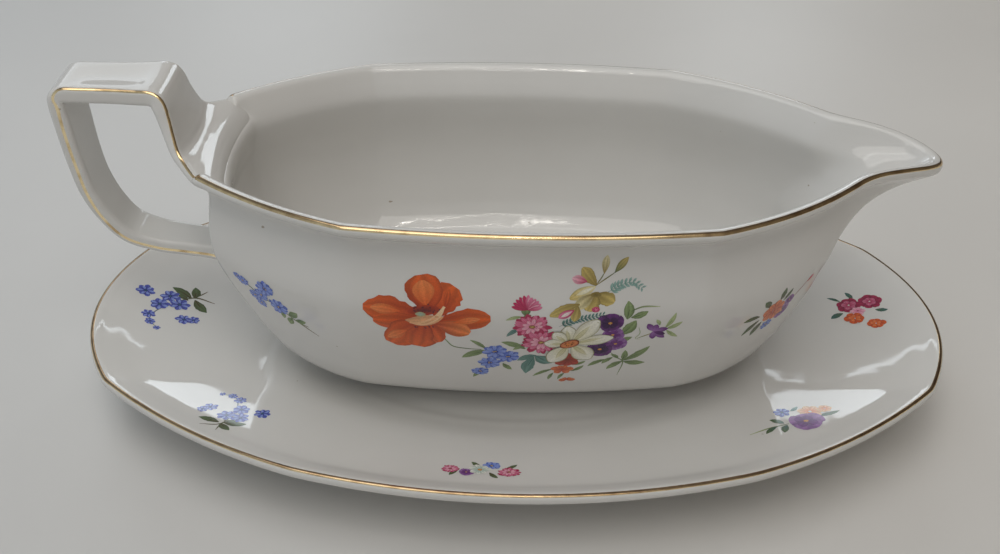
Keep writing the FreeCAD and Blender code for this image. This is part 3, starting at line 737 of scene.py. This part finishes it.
def straw_flower(p):
    """The yellow flowers with pink hearts and buds that stand over the daisy."""
    p.stroke([(15.2, 59.6), (16.4, 61.4), (17.2, 63.0)], 0.14, STRAW_DARK, LEAF_DARK)
    p.stroke([(15.2, 59.6), (17.4, 61.2), (19.6, 62.8)], 0.14, STRAW_DARK, LEAF_DARK)
    p.petal((17.0, 62.4), 84, 4.8, 1.8, STRAW_DARK, STRAW_PALE, peak=1.2, blunt=0.8)
    p.petal((19.4, 62.6), 52, 4.9, 1.8, LEAF_DARK, STRAW, peak=1.2, blunt=0.8)
    p.petal((15.4, 59.6), 128, 5.6, 3.0, STRAW_DARK, STRAW, peak=1.3, blunt=0.6, ragged=0.1)
    p.petal((13.2, 60.6), 166, 3.6, 2.2, CRIMSON, PALE_PINK, peak=1.3, blunt=0.6)
    p.petal((15.2, 59.4), 208, 6.6, 2.8, STRAW_PALE, STRAW, peak=1.2, blunt=0.6)
    p.petal((14.8, 59.2), 206, 4.4, 1.1, WHITE, STRAW_PALE, peak=1.2, blunt=0.8, streaks=0.05)
    p.petal((15.6, 57.6), -28, 4.8, 3.6, STRAW_DARK, STRAW, peak=1.4, blunt=0.5, ragged=0.12)
    p.petal((15.4, 57.8), 250, 5.0, 4.2, STRAW_DARK, STRAW, peak=1.4, blunt=0.5, ragged=0.12)
    p.petal((15.0, 57.6), 222, 5.8, 3.0, STRAW_DARK, STRAW_PALE, peak=1.3, blunt=0.6)
    p.disc((15.4, 57.4), 1.3, 0.7, STRAW_DARK * 0.6, STRAW_DARK)
    p.petal((11.8, 55.0), 206, 7.6, 3.0, STRAW_DARK, STRAW, peak=1.2, blunt=0.6, ragged=0.1)
    p.petal((11.4, 54.6), 262, 4.6, 2.4, STRAW_DARK, STRAW, peak=1.3, blunt=0.6)
    p.petal((10.6, 53.4), 212, 4.2, 2.2, CRIMSON, PINK, peak=1.3, blunt=0.6)
    p.petal((10.2, 53.2), 214, 3.0, 1.0, PALE_PINK, WHITE, peak=1.3, blunt=0.7)
    p.disc((15.6, 53.5), 0.95, 0.75, PINK, CRIMSON)
    p.specks((15.6, 53.5), 0.7, 0.5, 7, 0.12, CRIMSON * 0.6)


def fern(p, points, leaflet, colour, dark):
    """A stalk with small leaflets on both sides."""
    path = through(points, 0.9)
    p.stroke(points, 0.12, dark, colour)
    for i in range(1, len(path)):
        step = path[i] - path[i - 1]
        angle = math.degrees(math.atan2(step[1], step[0]))
        reach = leaflet * (1 - 0.45 * i / len(path))
        for side in (52, -52):
            p.petal(tuple(path[i]), angle + side, reach, reach * 0.42, dark, colour, peak=1.1, blunt=0.8)


def bouquet_leaves(p):
    fern(p, [(18.2, 58.0), (21.0, 59.6), (23.8, 60.2), (26.0, 58.9)], 1.9, TEAL_PALE, TEAL)
    fern(p, [(7.4, 48.4), (10.6, 50.2), (14.0, 51.2), (17.4, 52.0)], 1.7, TEAL, TEAL_DARK)
    for base, tip, width in (((23.3, 50.4), (23.7, 55.6), 2.6), ((24.2, 50.9), (28.3, 52.2), 1.9),
                             ((22.3, 45.2), (26.0, 49.6), 2.9), ((22.0, 43.0), (25.3, 43.9), 1.5),
                             ((24.0, 34.6), (30.6, 39.6), 2.1), ((24.2, 34.2), (29.6, 32.8), 2.0),
                             ((24.0, 34.4), (20.0, 31.4), 1.8), ((23.9, 34.8), (24.6, 39.0), 1.6),
                             ((21.4, 36.2), (18.6, 33.8), 1.3), ((19.6, 35.4), (15.2, 33.0), 1.4),
                             ((22.8, 35.6), (21.0, 37.8), 1.1)):
        p.leaf(base, tip, width, LEAF, LEAF_DARK)
    p.stroke([(24.0, 52.8), (26.6, 53.9), (30.8, 53.8)], 0.22, LEAF_DARK, LEAF_PALE)
    p.stroke([(20.4, 38.6), (22.4, 36.0), (24.0, 34.4), (23.4, 28.0)], 0.16, LEAF_DARK, LEAF)
    p.stroke([(26.4, 47.6), (26.9, 45.4), (26.0, 43.6), (27.2, 43.2)], 0.11, LEAF, LEAF_PALE)
    for base, tip, width in (((-0.2, 40.0), (-5.8, 43.2), 1.9), ((0.4, 41.6), (-3.4, 40.0), 1.3),
                             ((-9.6, 39.6), (-13.2, 43.4), 1.2), ((-9.4, 39.0), (-15.8, 36.4), 2.2),
                             ((-5.4, 33.8), (-3.4, 30.8), 1.5), ((-9.8, 30.8), (-13.0, 27.4), 1.4),
                             ((7.0, 31.4), (1.8, 28.6), 1.1), ((7.2, 29.6), (5.8, 26.6), 1.0),
                             ((11.6, 30.4), (14.8, 32.6), 1.1), ((12.0, 33.2), (15.0, 34.6), 1.0),
                             ((10.0, 29.6), (8.2, 26.8), 0.9)):
        p.leaf(base, tip, width, LEAF, LEAF_DARK)
    for base, tip, width in (((2.6, 37.4), (-2.2, 35.6), 2.1), ((2.0, 36.6), (-0.4, 29.6), 3.2),
                             ((2.4, 37.2), (6.4, 33.8), 3.4), ((-1.8, 47.6), (-5.2, 45.0), 1.3)):
        p.leaf(base, tip, width, TEAL, TEAL_DARK)
    p.leaf((-1.4, 51.4), (-5.4, 50.6), 1.0, LEAF_PALE, LEAF)
    p.leaf((0.6, 52.0), (-1.6, 50.2), 1.6, LEAF, LEAF_DARK)


def bouquet_violet(p):
    for base, tip, width in (((32.8, 47.0), (35.4, 51.6), 1.3), ((33.0, 46.6), (37.0, 48.4), 1.3),
                             ((33.2, 46.2), (36.0, 43.2), 1.2), ((31.4, 48.0), (30.6, 50.0), 1.0)):
        p.leaf(base, tip, width, LEAF_PALE, LEAF)
    p.stroke([(26.4, 43.6), (28.4, 44.6), (30.0, 45.4)], 0.14, LEAF, STRAW_DARK)
    for angle, length in ((120, 3.0), (70, 2.4), (12, 3.6), (-40, 3.9), (-86, 2.8)):
        p.petal((30.0, 46.0), angle, length, 1.7, LILAC, PURPLE, peak=1.2, blunt=0.7)
    p.petal((30.2, 45.8), -20, 3.0, 1.3, PURPLE, PURPLE_DARK, peak=1.2, blunt=0.7)


def bouquet_rust(p):
    for angle, length in ((150, 3.6), (95, 3.2), (32, 3.8), (-25, 3.0), (-85, 2.4), (205, 3.2)):
        p.petal((10.3, 35.2), angle, length, 2.6, RUST * 0.55, RUST, peak=1.3, blunt=0.6, ragged=0.1)
    p.disc((10.3, 35.4), 1.0, 0.6, RUST * 0.4, RUST * 0.6)
    for angle, length in ((170, 2.9), (120, 1.9), (60, 1.9), (8, 2.9), (-40, 2.3), (-140, 2.4)):
        p.petal((9.3, 31.2), angle, length, 1.9, RUST, ORANGE, peak=1.3, blunt=0.6, ragged=0.1)
    for angle, length in ((184, 2.0), (6, 2.2), (40, 1.5), (140, 1.4)):
        p.petal((10.8, 26.2), angle, length, 1.4, RUST, ORANGE, peak=1.3, blunt=0.6, ragged=0.1)


def bouquet_bud(p):
    """The half-open pink aster at the top left."""
    p.stroke([(-0.4, 53.4), (-0.8, 51.4), (0.6, 49.6)], 0.18, LEAF_DARK, LEAF)
    p.petal((-0.6, 51.8), 92, 2.4, 2.2, LEAF_DARK, LEAF, peak=1.1, blunt=0.6)
    for i in range(11):
        angle = 168 - 15.5 * i
        length = 3.9 if i < 6 else 3.4
        outer = CRIMSON if i < 5 else PINK
        p.petal((-0.2, 53.4), angle, length, 1.2, CRIMSON * 0.8, outer, peak=1.3, blunt=0.6)
        if i % 2:
            p.petal((-0.2, 53.6), angle - 4, length * 0.8, 0.6, PINK, PALE_PINK, peak=1.3, blunt=0.7)


def bouquet(seed):
    """The large transfer of the long sides: a poppy and, beside it, a mixed bunch."""
    p = Painting(seed)
    p.stroke([(-21.4, 46.0), (-19.3, 42.6), (-17.6, 40.3), (-14.6, 39.6), (-10.8, 39.4)], 0.17, LEAF, LEAF_DARK)
    poppy(p)
    bouquet_leaves(p)
    cornflower(p, (-10.9, 29.9), 2.4, 0.7)
    cornflower(p, (-4.2, 36.8), 3.0)
    cornflower(p, (-8.7, 34.0), 3.0, turn=12)
    cornflower(p, (-7.4, 38.7), 3.2, turn=30)
    bouquet_bud(p)
    aster(p, (1.0, 48.3), 4.6, 0.85)
    aster(p, (3.4, 42.8), 4.7, 0.95, turn=10)
    straw_flower(p)
    pansy(p, (20.4, 45.2), 2.8, PURPLE, LILAC, turn=40)
    pansy(p, (19.4, 49.3), 3.4, turn=15)
    pansy(p, (21.4, 41.8), 2.9, PURPLE, LILAC, turn=-10)
    pansy(p, (17.8, 39.8), 3.5, turn=50)
    bouquet_violet(p)
    bouquet_rust(p)
    daisy(p, (10.3, 42.2))
    return p


def forget_me_not(p, at, radius, turn=0.0):
    p.whorl(at, radius, 7, radius * 0.58, VIOLET_DARK, VIOLET, 0.9, turn, blunt=0.6, peak=1.4, ragged=0.22)
    p.whorl(at, radius * 0.86, 6, radius * 0.30, VIOLET, BLUE_LIGHT, 0.9, turn + 30, blunt=0.7, ragged=0.2)
    p.disc(at, radius * 0.22, radius * 0.2, TEAL_DARK, VIOLET_DARK)


def blue_sprig(p):
    """Forget-me-nots in a curve, with dark leaves at the foot of the stalk."""
    p.stroke([(0.5, 2.0), (4.5, 4.4), (9.5, 3.2)], 0.22, LEAF_DARK, BROWN)
    p.stroke([(4.5, 4.4), (7.0, 7.4)], 0.16, LEAF_DARK, BROWN)
    for base, tip, width in (((3.6, 4.0), (-1.2, 7.6), 2.2), ((4.4, 4.2), (4.2, 8.4), 2.3),
                             ((4.6, 3.6), (7.8, -1.0), 2.4), ((3.0, 3.0), (0.4, 5.0), 1.4)):
        p.leaf(base, tip, width, LEAF_DARK, BROWN * 0.6)
    p.stroke([(0.0, 1.0), (-3.0, -2.0), (-4.2, -6.0), (-1.4, -9.4)], 0.16, VIOLET_DARK, LEAF)
    for at, radius in (((-7.4, 4.0), 2.3), ((-1.4, 3.6), 2.5), ((1.4, 1.0), 2.5), ((-3.2, 0.0), 2.5),
                       ((3.6, -4.4), 2.1), ((5.8, -4.2), 1.6), ((-4.8, -4.2), 1.7), ((-3.8, -7.0), 1.4),
                       ((-1.8, -9.0), 0.9)):
        forget_me_not(p, at, radius, turn=p.dice.uniform(0, 60))


def trailing_sprig(p):
    """Blue flowers that trail down to a leafy twig."""
    p.stroke([(-10.6, 5.0), (-7.0, 3.4), (-2.6, 1.0), (1.0, 0.4)], 0.18, TEAL_DARK, LEAF_DARK)
    p.stroke([(1.4, 0.2), (5.0, -2.4), (8.2, -4.2), (11.8, -6.4)], 0.20, LEAF, BROWN)
    p.stroke([(7.0, -3.6), (9.6, -3.9)], 0.14, LEAF, BROWN)
    for base, tip, width in (((4.2, -1.8), (7.4, -0.2), 2.2), ((5.0, -2.6), (3.4, -5.2), 2.0),
                             ((5.8, -3.0), (9.2, -2.6), 1.7), ((2.8, -1.0), (2.0, -3.8), 1.5)):
        p.leaf(base, tip, width, LEAF, LEAF_DARK)
    for at, radius in (((-10.6, 5.1), 1.3), ((-8.8, 4.3), 1.9), ((-5.6, 0.9), 2.0), ((-4.2, -1.2), 1.8),
                       ((-3.2, 2.0), 2.3), ((-1.4, 4.9), 2.9), ((1.7, 0.0), 3.0)):
        cornflower(p, at, radius, turn=p.dice.uniform(0, 60))


def warm_sprig(p):
    """An orange rose between lilac ones, with dark leaves."""
    p.stroke([(6.0, -0.5), (10.0, 1.0), (13.0, 2.4)], 0.16, BROWN, RUST)
    p.petal((12.2, 1.8), 20, 2.6, 1.1, RUST, PINK, peak=1.2)
    for base, tip, width in (((-4.0, 1.5), (-8.8, 3.4), 1.6), ((-4.0, 0.0), (-9.2, -2.6), 1.8),
                             ((-3.0, -1.6), (-6.4, -5.2), 2.0), ((-1.0, 3.0), (-2.2, 6.2), 2.0),
                             ((2.4, 3.0), (4.6, 6.4), 1.9), ((3.6, 2.0), (7.0, 4.0), 1.4)):
        p.leaf(base, tip, width, LEAF_DARK, BROWN * 0.6)
    pansy(p, (3.6, -2.6), 2.6, PURPLE, LILAC)
    pansy(p, (6.0, 0.2), 1.9, PURPLE, LILAC, turn=30)
    cornflower(p, (-1.2, -4.4), 2.0)
    p.whorl((0.6, 0.4), 3.8, 7, 2.8, RUST, ORANGE, 0.9, 10, blunt=0.5, peak=1.4, ragged=0.1)
    p.whorl((0.2, 0.2), 2.0, 5, 1.6, RUST, ORANGE * 0.85, 0.9, 30)


def berry_sprig(p):
    """Two magenta roses over two orange ones, with small green leaves."""
    for base, tip, width in (((0.0, 5.0), (-1.0, 8.4), 1.4), ((-3.6, 4.6), (-6.6, 7.2), 1.0),
                             ((-4.0, -0.6), (-8.0, -2.0), 1.8), ((5.0, -0.8), (8.2, -2.0), 1.5)):
        p.leaf(base, tip, width, TEAL_DARK, LEAF_DARK)
    for at, radius in (((4.4, 3.0), 3.3), ((-1.6, 2.6), 3.7)):
        p.whorl(at, radius, 7, radius * 0.8, CRIMSON * 0.3, CRIMSON * 0.75, 0.9, blunt=0.5, peak=1.4, ragged=0.2)
        p.whorl(at, radius * 0.6, 5, radius * 0.5, CRIMSON * 0.8, PINK * 0.8, 0.9, 30)
    p.whorl((0.2, -0.4), 2.2, 6, 1.5, PINK, PALE_PINK, 0.9)
    for at, radius in (((-1.4, -3.4), 2.9), ((3.6, -6.8), 2.7)):
        p.whorl(at, radius, 6, radius * 0.8, RUST, POPPY, 0.8, blunt=0.5, peak=1.4, ragged=0.1)
        p.whorl(at, radius * 0.6, 5, radius * 0.4, POPPY, ORANGE, 0.8, 20)


def mixed_sprig(p):
    """A violet pansy with paler flowers behind it."""
    p.stroke([(-2.0, -1.0), (-7.0, -1.6), (-12.0, -3.0)], 0.20, LEAF_DARK, LEAF_PALE)
    for base, tip, width in (((-3.0, -0.6), (-5.4, 1.8), 1.6), ((-2.6, -1.4), (-4.6, -4.0), 1.7),
                             ((5.0, 0.4), (10.8, 0.2), 1.3), ((-5.0, -1.4), (-8.6, -3.2), 1.2)):
        p.leaf(base, tip, width, LEAF_DARK, TEAL_DARK)
    p.whorl((4.4, 2.4), 3.0, 7, 2.0, ORANGE, CREAM, 0.8)
    p.whorl((8.0, 2.6), 1.9, 6, 1.4, ORANGE, CREAM, 0.8)
    forget_me_not(p, (-1.8, 3.8), 2.0)
    p.leaf((0.2, 3.8), (2.6, 4.8), 1.0, TEAL, TEAL_DARK)
    pansy(p, (2.0, -1.0), 4.0, PURPLE, LILAC, turn=20)


def rose_sprig(p):
    """A short row of small pink, white and blue flowers."""
    for base, tip, width in (((0.0, 1.0), (-1.4, 3.6), 1.2), ((2.0, -1.0), (3.4, -3.6), 1.2),
                             ((-4.6, 0.4), (-7.0, -1.8), 1.1), ((5.6, 0.6), (8.4, 1.8), 1.0)):
        p.leaf(base, tip, width, LEAF_DARK, BROWN * 0.7)
    aster(p, (-6.4, 0.6), 2.0, 0.8)
    aster(p, (6.2, -1.0), 2.5, 0.8)
    pansy(p, (-3.0, -0.8), 1.7, PURPLE, LILAC)
    cornflower(p, (2.6, 1.8), 2.2, 0.7)
    p.whorl((0.0, 0.2), 2.5, 7, 1.6, TEAL_PALE, WHITE, 0.8)
    p.disc((0.0, 0.2), 0.5, 0.4, STRAW, AMBER)


# ---- materials ------------------------------------------------------------------------

class Nodes:
    """A material's node tree, with short calls for the nodes used here."""

    def __init__(self, name):
        self.material = bpy.data.materials.new(name)
        self.material.use_nodes = True
        self.tree = self.material.node_tree
        self.tree.nodes.clear()

    def add(self, kind, **inputs):
        node = self.tree.nodes.new("ShaderNode" + kind)
        for key, value in inputs.items():
            label = key.replace("_", " ")
            if label in node.inputs:
                self.set(node, label, value)
            else:
                setattr(node, key, value)
        return node

    def set(self, node, label, value):
        if isinstance(value, bpy.types.NodeSocket):
            self.tree.links.new(value, node.inputs[label])
        else:
            node.inputs[label].default_value = value

    def noise(self, scale, detail=2.0, roughness=0.5):
        place = self.add("TexCoord").outputs["Object"]
        return self.add("TexNoise", Vector=place, Scale=scale, Detail=detail, Roughness=roughness).outputs[0]

    def ramp(self, value, stops):
        node = self.add("ValToRGB")
        self.tree.links.new(value, node.inputs["Fac"])
        while len(node.color_ramp.elements) < len(stops):
            node.color_ramp.elements.new(0.5)
        for element, (position, colour) in zip(node.color_ramp.elements, stops):
            element.position = position
            element.color = (*colour, 1.0)
        return node.outputs["Color"]

    def product(self, first, second):
        mix = self.add("Mix", data_type="RGBA", blend_type="MULTIPLY")
        mix.inputs["Factor"].default_value = 1.0
        colours = [socket for socket in mix.inputs if socket.type == "RGBA"]
        self.tree.links.new(first, colours[0])
        self.tree.links.new(second, colours[1])
        return [socket for socket in mix.outputs if socket.type == "RGBA"][0]

    def finish(self, shader):
        output = self.tree.nodes.new("ShaderNodeOutputMaterial")
        self.tree.links.new(shader.outputs[0], output.inputs["Surface"])
        return self.material


def porcelain():
    """Slightly warm white under a clear glaze, with a few dark specks from the kiln."""
    n = Nodes("glazed_porcelain")
    tone = n.ramp(n.noise(28.0, 3.0), [(0.3, (0.685, 0.669, 0.636)), (0.7, (0.715, 0.700, 0.667))])
    specks = n.ramp(n.noise(560.0, 0.0), [(0.070, (0.60, 0.54, 0.46)), (0.082, (1.0, 1.0, 1.0))])
    body = n.product(tone, specks)
    ripple = n.add("Bump", Strength=0.05, Distance=0.001, Height=n.noise(120.0, 1.0))
    roughness = n.ramp(n.noise(60.0, 2.0), [(0.3, (0.03, 0.03, 0.03)), (0.7, (0.06, 0.06, 0.06))])
    shader = n.add("BsdfPrincipled", Base_Color=body, Roughness=roughness, IOR=1.5,
                   Normal=ripple.outputs[0])
    return n.finish(shader)


def gold():
    """Burnished bright gold, a little browner where it is worn, with painted reflection: darker brown where it
    faces up, brighter where it faces sideways.
    """
    n = Nodes("burnished_gold")
    wear = n.ramp(n.noise(260.0, 3.0), [(0.30, (0.62, 0.56, 0.52)), (0.55, (1.0, 1.0, 1.0))])
    # painted reflection: the gold's colour follows which way its surface faces, dark brown facing up, bright yellow
    # facing sideways
    split = n.add("SeparateXYZ")
    n.tree.links.new(n.add("NewGeometry").outputs["Normal"], split.inputs[0])
    painted_reflection = n.ramp(split.outputs["Z"], [(0.25, (1.0, 0.82, 0.50)), (0.70, (0.84, 0.63, 0.34)),
                                         (0.95, (0.36, 0.25, 0.15))])
    tone = n.product(wear, painted_reflection)
    roughness = n.ramp(n.noise(1400.0, 3.0), [(0.3, (0.10, 0.10, 0.10)), (0.7, (0.17, 0.17, 0.17))])
    bump = n.add("Bump", Strength=0.05, Distance=0.0001, Height=n.noise(900.0, 2.0))
    shader = n.add("BsdfPrincipled", Base_Color=tone, Roughness=roughness, Metallic=1.0,
                   Normal=bump.outputs[0])
    return n.finish(shader)


def enamel():
    n = Nodes("printed_enamel")
    paint = n.add("Attribute", attribute_name="paint").outputs["Color"]
    grain = n.ramp(n.noise(2600.0, 3.0), [(0.3, (0.80, 0.80, 0.80)), (0.7, (1.0, 1.0, 1.0))])
    shader = n.add("BsdfPrincipled", Base_Color=n.product(paint, grain), Roughness=0.10, IOR=1.5)
    return n.finish(shader)


def stone_floor():
    """Pale stone, very faintly clouded, with painted light that makes it lighter and warmer towards the spout."""
    n = Nodes("pale_floor")
    clouds = n.ramp(n.noise(5.0, 4.0), [(0.3, (0.93, 0.93, 0.93)), (0.7, (1.0, 1.0, 1.0))])
    split = n.add("SeparateXYZ")
    n.tree.links.new(n.add("TexCoord").outputs["Object"], split.inputs[0])
    # painted light: the floor's colour grows lighter and warmer from the handle's side to the spout's side
    sideways = n.add("MapRange", Value=split.outputs["X"], From_Min=-0.3, From_Max=0.45)
    painted_side_light = n.ramp(sideways.outputs[0], [(0.0, (0.665, 0.668, 0.660)), (1.0, (0.775, 0.730, 0.665))])
    shader = n.add("BsdfPrincipled", Base_Color=n.product(clouds, painted_side_light), Roughness=0.38, IOR=1.32)
    return n.finish(shader)


# ---- assemble -------------------------------------------------------------------------

def dress(piece, body, slot, material, *replaced):
    piece.data.materials.clear()
    piece.data.materials.append(material)
    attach(piece, body)
    if replaced:
        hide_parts(*replaced)
    return piece


PORCELAIN = porcelain()
GOLD = gold()
STRAP = Strap()

bowl = dress(build_bowl(), "boat", "porcelain", PORCELAIN, "bowl")
handle = dress(build_handle(STRAP), "boat", "porcelain", PORCELAIN, "handle")
underplate = dress(build_underplate(), "underplate", "porcelain", PORCELAIN, "underplate")
dress(build_bowl_rim_gold(), "boat", "gilding", GOLD, "bowl_rim_gilding")
for line in build_handle_gold(STRAP):
    dress(line, "boat", "gilding", GOLD, "handle_gilding")
dress(build_plate_gold(), "underplate", "gilding", GOLD, "underplate_rim_gilding")


ENAMEL = enamel()
BOWL_GLAZE = [surface_of(bowl)]
PLATE_GLAZE = [surface_of(underplate)]


def print_bouquet(side):
    """The same transfer on the front, side -1, and on the back, side 1."""
    name = "front" if side < 0 else "back"
    piece = bouquet(7).lay("bouquet_" + name, BOWL_GLAZE, (0, 0, 0), (-side, 0, 0), (0, 0, 1), (0, side, 0))
    dress(piece, "boat", "printed_enamel", ENAMEL, "bowl_" + name + "_bouquet")


def print_bowl_sprigs():
    """One sprig on each diagonal side, facing along the side's own normal."""
    places = [("handle_front", -1, -1, trailing_sprig, (-2.4, 43.6), 0),
              ("spout_front", 1, -1, warm_sprig, (-2.0, 43.5), 16),
              ("handle_back", -1, 1, warm_sprig, (0.6, 44.0), 0),
              ("spout_back", 1, 1, trailing_sprig, (0.0, 44.0), 0)]
    for name, end, side, draw, at, turn in places:
        corner = HANDLE_CORNER if end < 0 else SPOUT_CORNER
        middle = ((abs(corner[0]) + LONG_CORNER[0]) / 2, (corner[1] + LONG_CORNER[1]) / 2)
        reach = (LONG_CORNER[1] - corner[1], abs(corner[0]) - LONG_CORNER[0])
        facing = Vector((end * reach[0], side * reach[1], 0)).normalized()
        across = Vector((0, 0, 1)).cross(facing)
        p = Painting(11, at, turn)
        draw(p)
        piece = p.lay("bowl_sprig_" + name, BOWL_GLAZE, (end * middle[0], side * middle[1], 0), across,
                      (0, 0, 1), facing)
        dress(piece, "boat", "printed_enamel", ENAMEL, "bowl_sprigs")


def print_plate_sprigs():
    places = [("handle_end", blue_sprig, (-98.5, 5.0), 0, 1.15),
              ("spout_end", berry_sprig, (98.8, 7.4), 0, 1.0),
              ("front_handle", blue_sprig, (-74.2, -38.6), 215, 0.95),
              ("front_spout", mixed_sprig, (70.5, -38.5), 8, 1.12),
              ("front", rose_sprig, (-10.7, -57.5), 3, 1.12),
              ("back_handle", mixed_sprig, (-70.5, 38.5), 188, 1.12),
              ("back_spout", blue_sprig, (71.8, 37.5), 35, 1.0),
              ("back", rose_sprig, (10.7, 57.5), 183, 1.12)]
    for name, draw, at, turn, size in places:
        p = Painting(5, at, turn, size)
        draw(p)
        piece = p.lay("plate_sprig_" + name, PLATE_GLAZE, (0, 0, 0), (1, 0, 0), (0, 1, 0), (0, 0, 1))
        dress(piece, "underplate", "printed_enamel", ENAMEL, "underplate_sprigs")


for side in (-1, 1):
    print_bouquet(side)
print_bowl_sprigs()
print_plate_sprigs()


# ---- floor, light and camera ----------------------------------------------------------

def build_floor():
    size = 8000.0
    floor = make_object("floor", [(-size, -size, 0), (size, -size, 0), (size, size, 0), (-size, size, 0)],
                        [(0, 1, 2, 3)], smooth=False)
    floor.data.materials.append(stone_floor())


def area_light(name, place, target, width, height, power, colour):
    data = bpy.data.lights.new(name, "AREA")
    data.shape = "RECTANGLE"
    data.size = width
    data.size_y = height
    data.energy = power
    data.color = colour
    lamp = bpy.data.objects.new(name, data)
    lamp.location = place
    lamp.rotation_euler = (Vector(target) - Vector(place)).to_track_quat("-Z", "Y").to_euler()
    bpy.context.scene.collection.objects.link(lamp)


def build_lights():
    world = bpy.data.worlds.new("studio")
    bpy.context.scene.world = world
    world.use_nodes = True
    tree = world.node_tree
    direction = tree.nodes.new("ShaderNodeTexCoord")
    split = tree.nodes.new("ShaderNodeSeparateXYZ")
    tree.links.new(direction.outputs["Generated"], split.inputs[0])
    # brighter and cooler on the handle's side, dimmer and warmer on the spout's side
    sideways = tree.nodes.new("ShaderNodeMapRange")
    tree.links.new(split.outputs["X"], sideways.inputs["Value"])
    sideways.inputs["From Min"].default_value = -1.0
    sideways.inputs["From Max"].default_value = 1.0
    tone = tree.nodes.new("ShaderNodeValToRGB")
    tree.links.new(sideways.outputs[0], tone.inputs["Fac"])
    for position in (0.30, 0.50, 0.72):
        tone.color_ramp.elements.new(position)
    colours = ((0.40, 0.45, 0.50), (0.34, 0.37, 0.40), (0.55, 0.55, 0.54), (0.22, 0.20, 0.185), (0.10, 0.085, 0.07))
    for element, colour in zip(tone.color_ramp.elements, colours):
        element.color = (*colour, 1.0)
    background = tree.nodes["Background"]
    tree.links.new(tone.outputs["Color"], background.inputs["Color"])
    # and a little stronger from the front
    forwards = tree.nodes.new("ShaderNodeMapRange")
    tree.links.new(split.outputs["Y"], forwards.inputs["Value"])
    forwards.inputs["From Min"].default_value = -1.0
    forwards.inputs["From Max"].default_value = 1.0
    forwards.inputs["To Min"].default_value = 1.05
    forwards.inputs["To Max"].default_value = 0.60
    tree.links.new(forwards.outputs[0], background.inputs["Strength"])
    daylight = (0.86, 0.94, 1.0)
    area_light("window_left", (-0.30, 1.45, 0.60), (-0.08, 0, 0.03), 0.30, 0.26, 1.0, daylight)
    area_light("window_right", (0.44, 1.45, 0.66), (0.08, 0, 0.03), 0.25, 0.32, 1.0, daylight)
    area_light("window_top", (0.09, 1.40, 0.99), (0, 0, 0.03), 0.46, 0.03, 0.16, daylight)
    area_light("side_wall", (-0.66, 1.30, 0.86), (-0.1, 0, 0.09), 0.55, 0.80, 1.6, daylight)
    area_light("ceiling", (-0.3, 0.0, 1.7), (0, 0, 0.03), 1.0, 1.0, 5.2, (0.98, 0.97, 0.96))
    area_light("ceiling_front", (-0.1, -0.75, 1.55), (0, 0, 0.03), 1.3, 0.8, 5.6, (1.0, 0.97, 0.93))
    build_ring_lamp()


def build_ring_lamp():
    """A glowing oval tube above and in front, seen only in the glaze."""
    centre = Vector((0.085, -0.75, 1.47))
    half_width, half_length, tube = 0.034, 0.40, 0.006
    facing = (Vector((0, 0, 0.03)) - centre).normalized()
    across = facing.cross(Vector((0, 1, 0))).normalized()
    up = across.cross(facing)
    rings = []
    for i in range(64):
        a = 2 * math.pi * i / 64
        middle = centre + across * (half_width * math.cos(a)) + up * (half_length * math.sin(a))
        outwards = (middle - centre).normalized()
        ring = []
        for k in range(12):
            b = 2 * math.pi * k / 12
            ring.append((middle + outwards * (tube * math.cos(b)) + facing * (tube * math.sin(b))) / MM)
        rings.append(np.array(ring))
    lamp = swept_loop("ring_lamp", rings)
    n = Nodes("lamp_glow")
    glow = n.add("Emission", Color=(1.0, 0.95, 0.88, 1.0), Strength=26.0)
    lamp.data.materials.append(n.finish(glow))


def build_camera():
    yaw, pitch, roll = 0.030, 0.624, 0.032
    forward = Vector((math.sin(yaw) * math.cos(pitch), math.cos(yaw) * math.cos(pitch), -math.sin(pitch)))
    right = Vector((math.cos(yaw), -math.sin(yaw), 0.0))
    up = right.cross(forward)
    tilted_right = right * math.cos(roll) + up * math.sin(roll)
    tilted_up = up * math.cos(roll) - right * math.sin(roll)
    place = Vector((-13.0, -245.7, 208.6)) * MM
    axes = Matrix((tilted_right, tilted_up, -forward)).transposed()
    data = bpy.data.cameras.new("camera")
    data.lens = 39.6
    data.sensor_width = 36.0
    data.clip_start = 0.01
    camera = bpy.data.objects.new("camera", data)
    camera.matrix_world = Matrix.Translation(place) @ axes.to_4x4()
    bpy.context.scene.collection.objects.link(camera)
    bpy.context.scene.camera = camera


build_floor()
build_lights()
build_camera()
bpy.context.scene.view_settings.view_transform = "Standard"
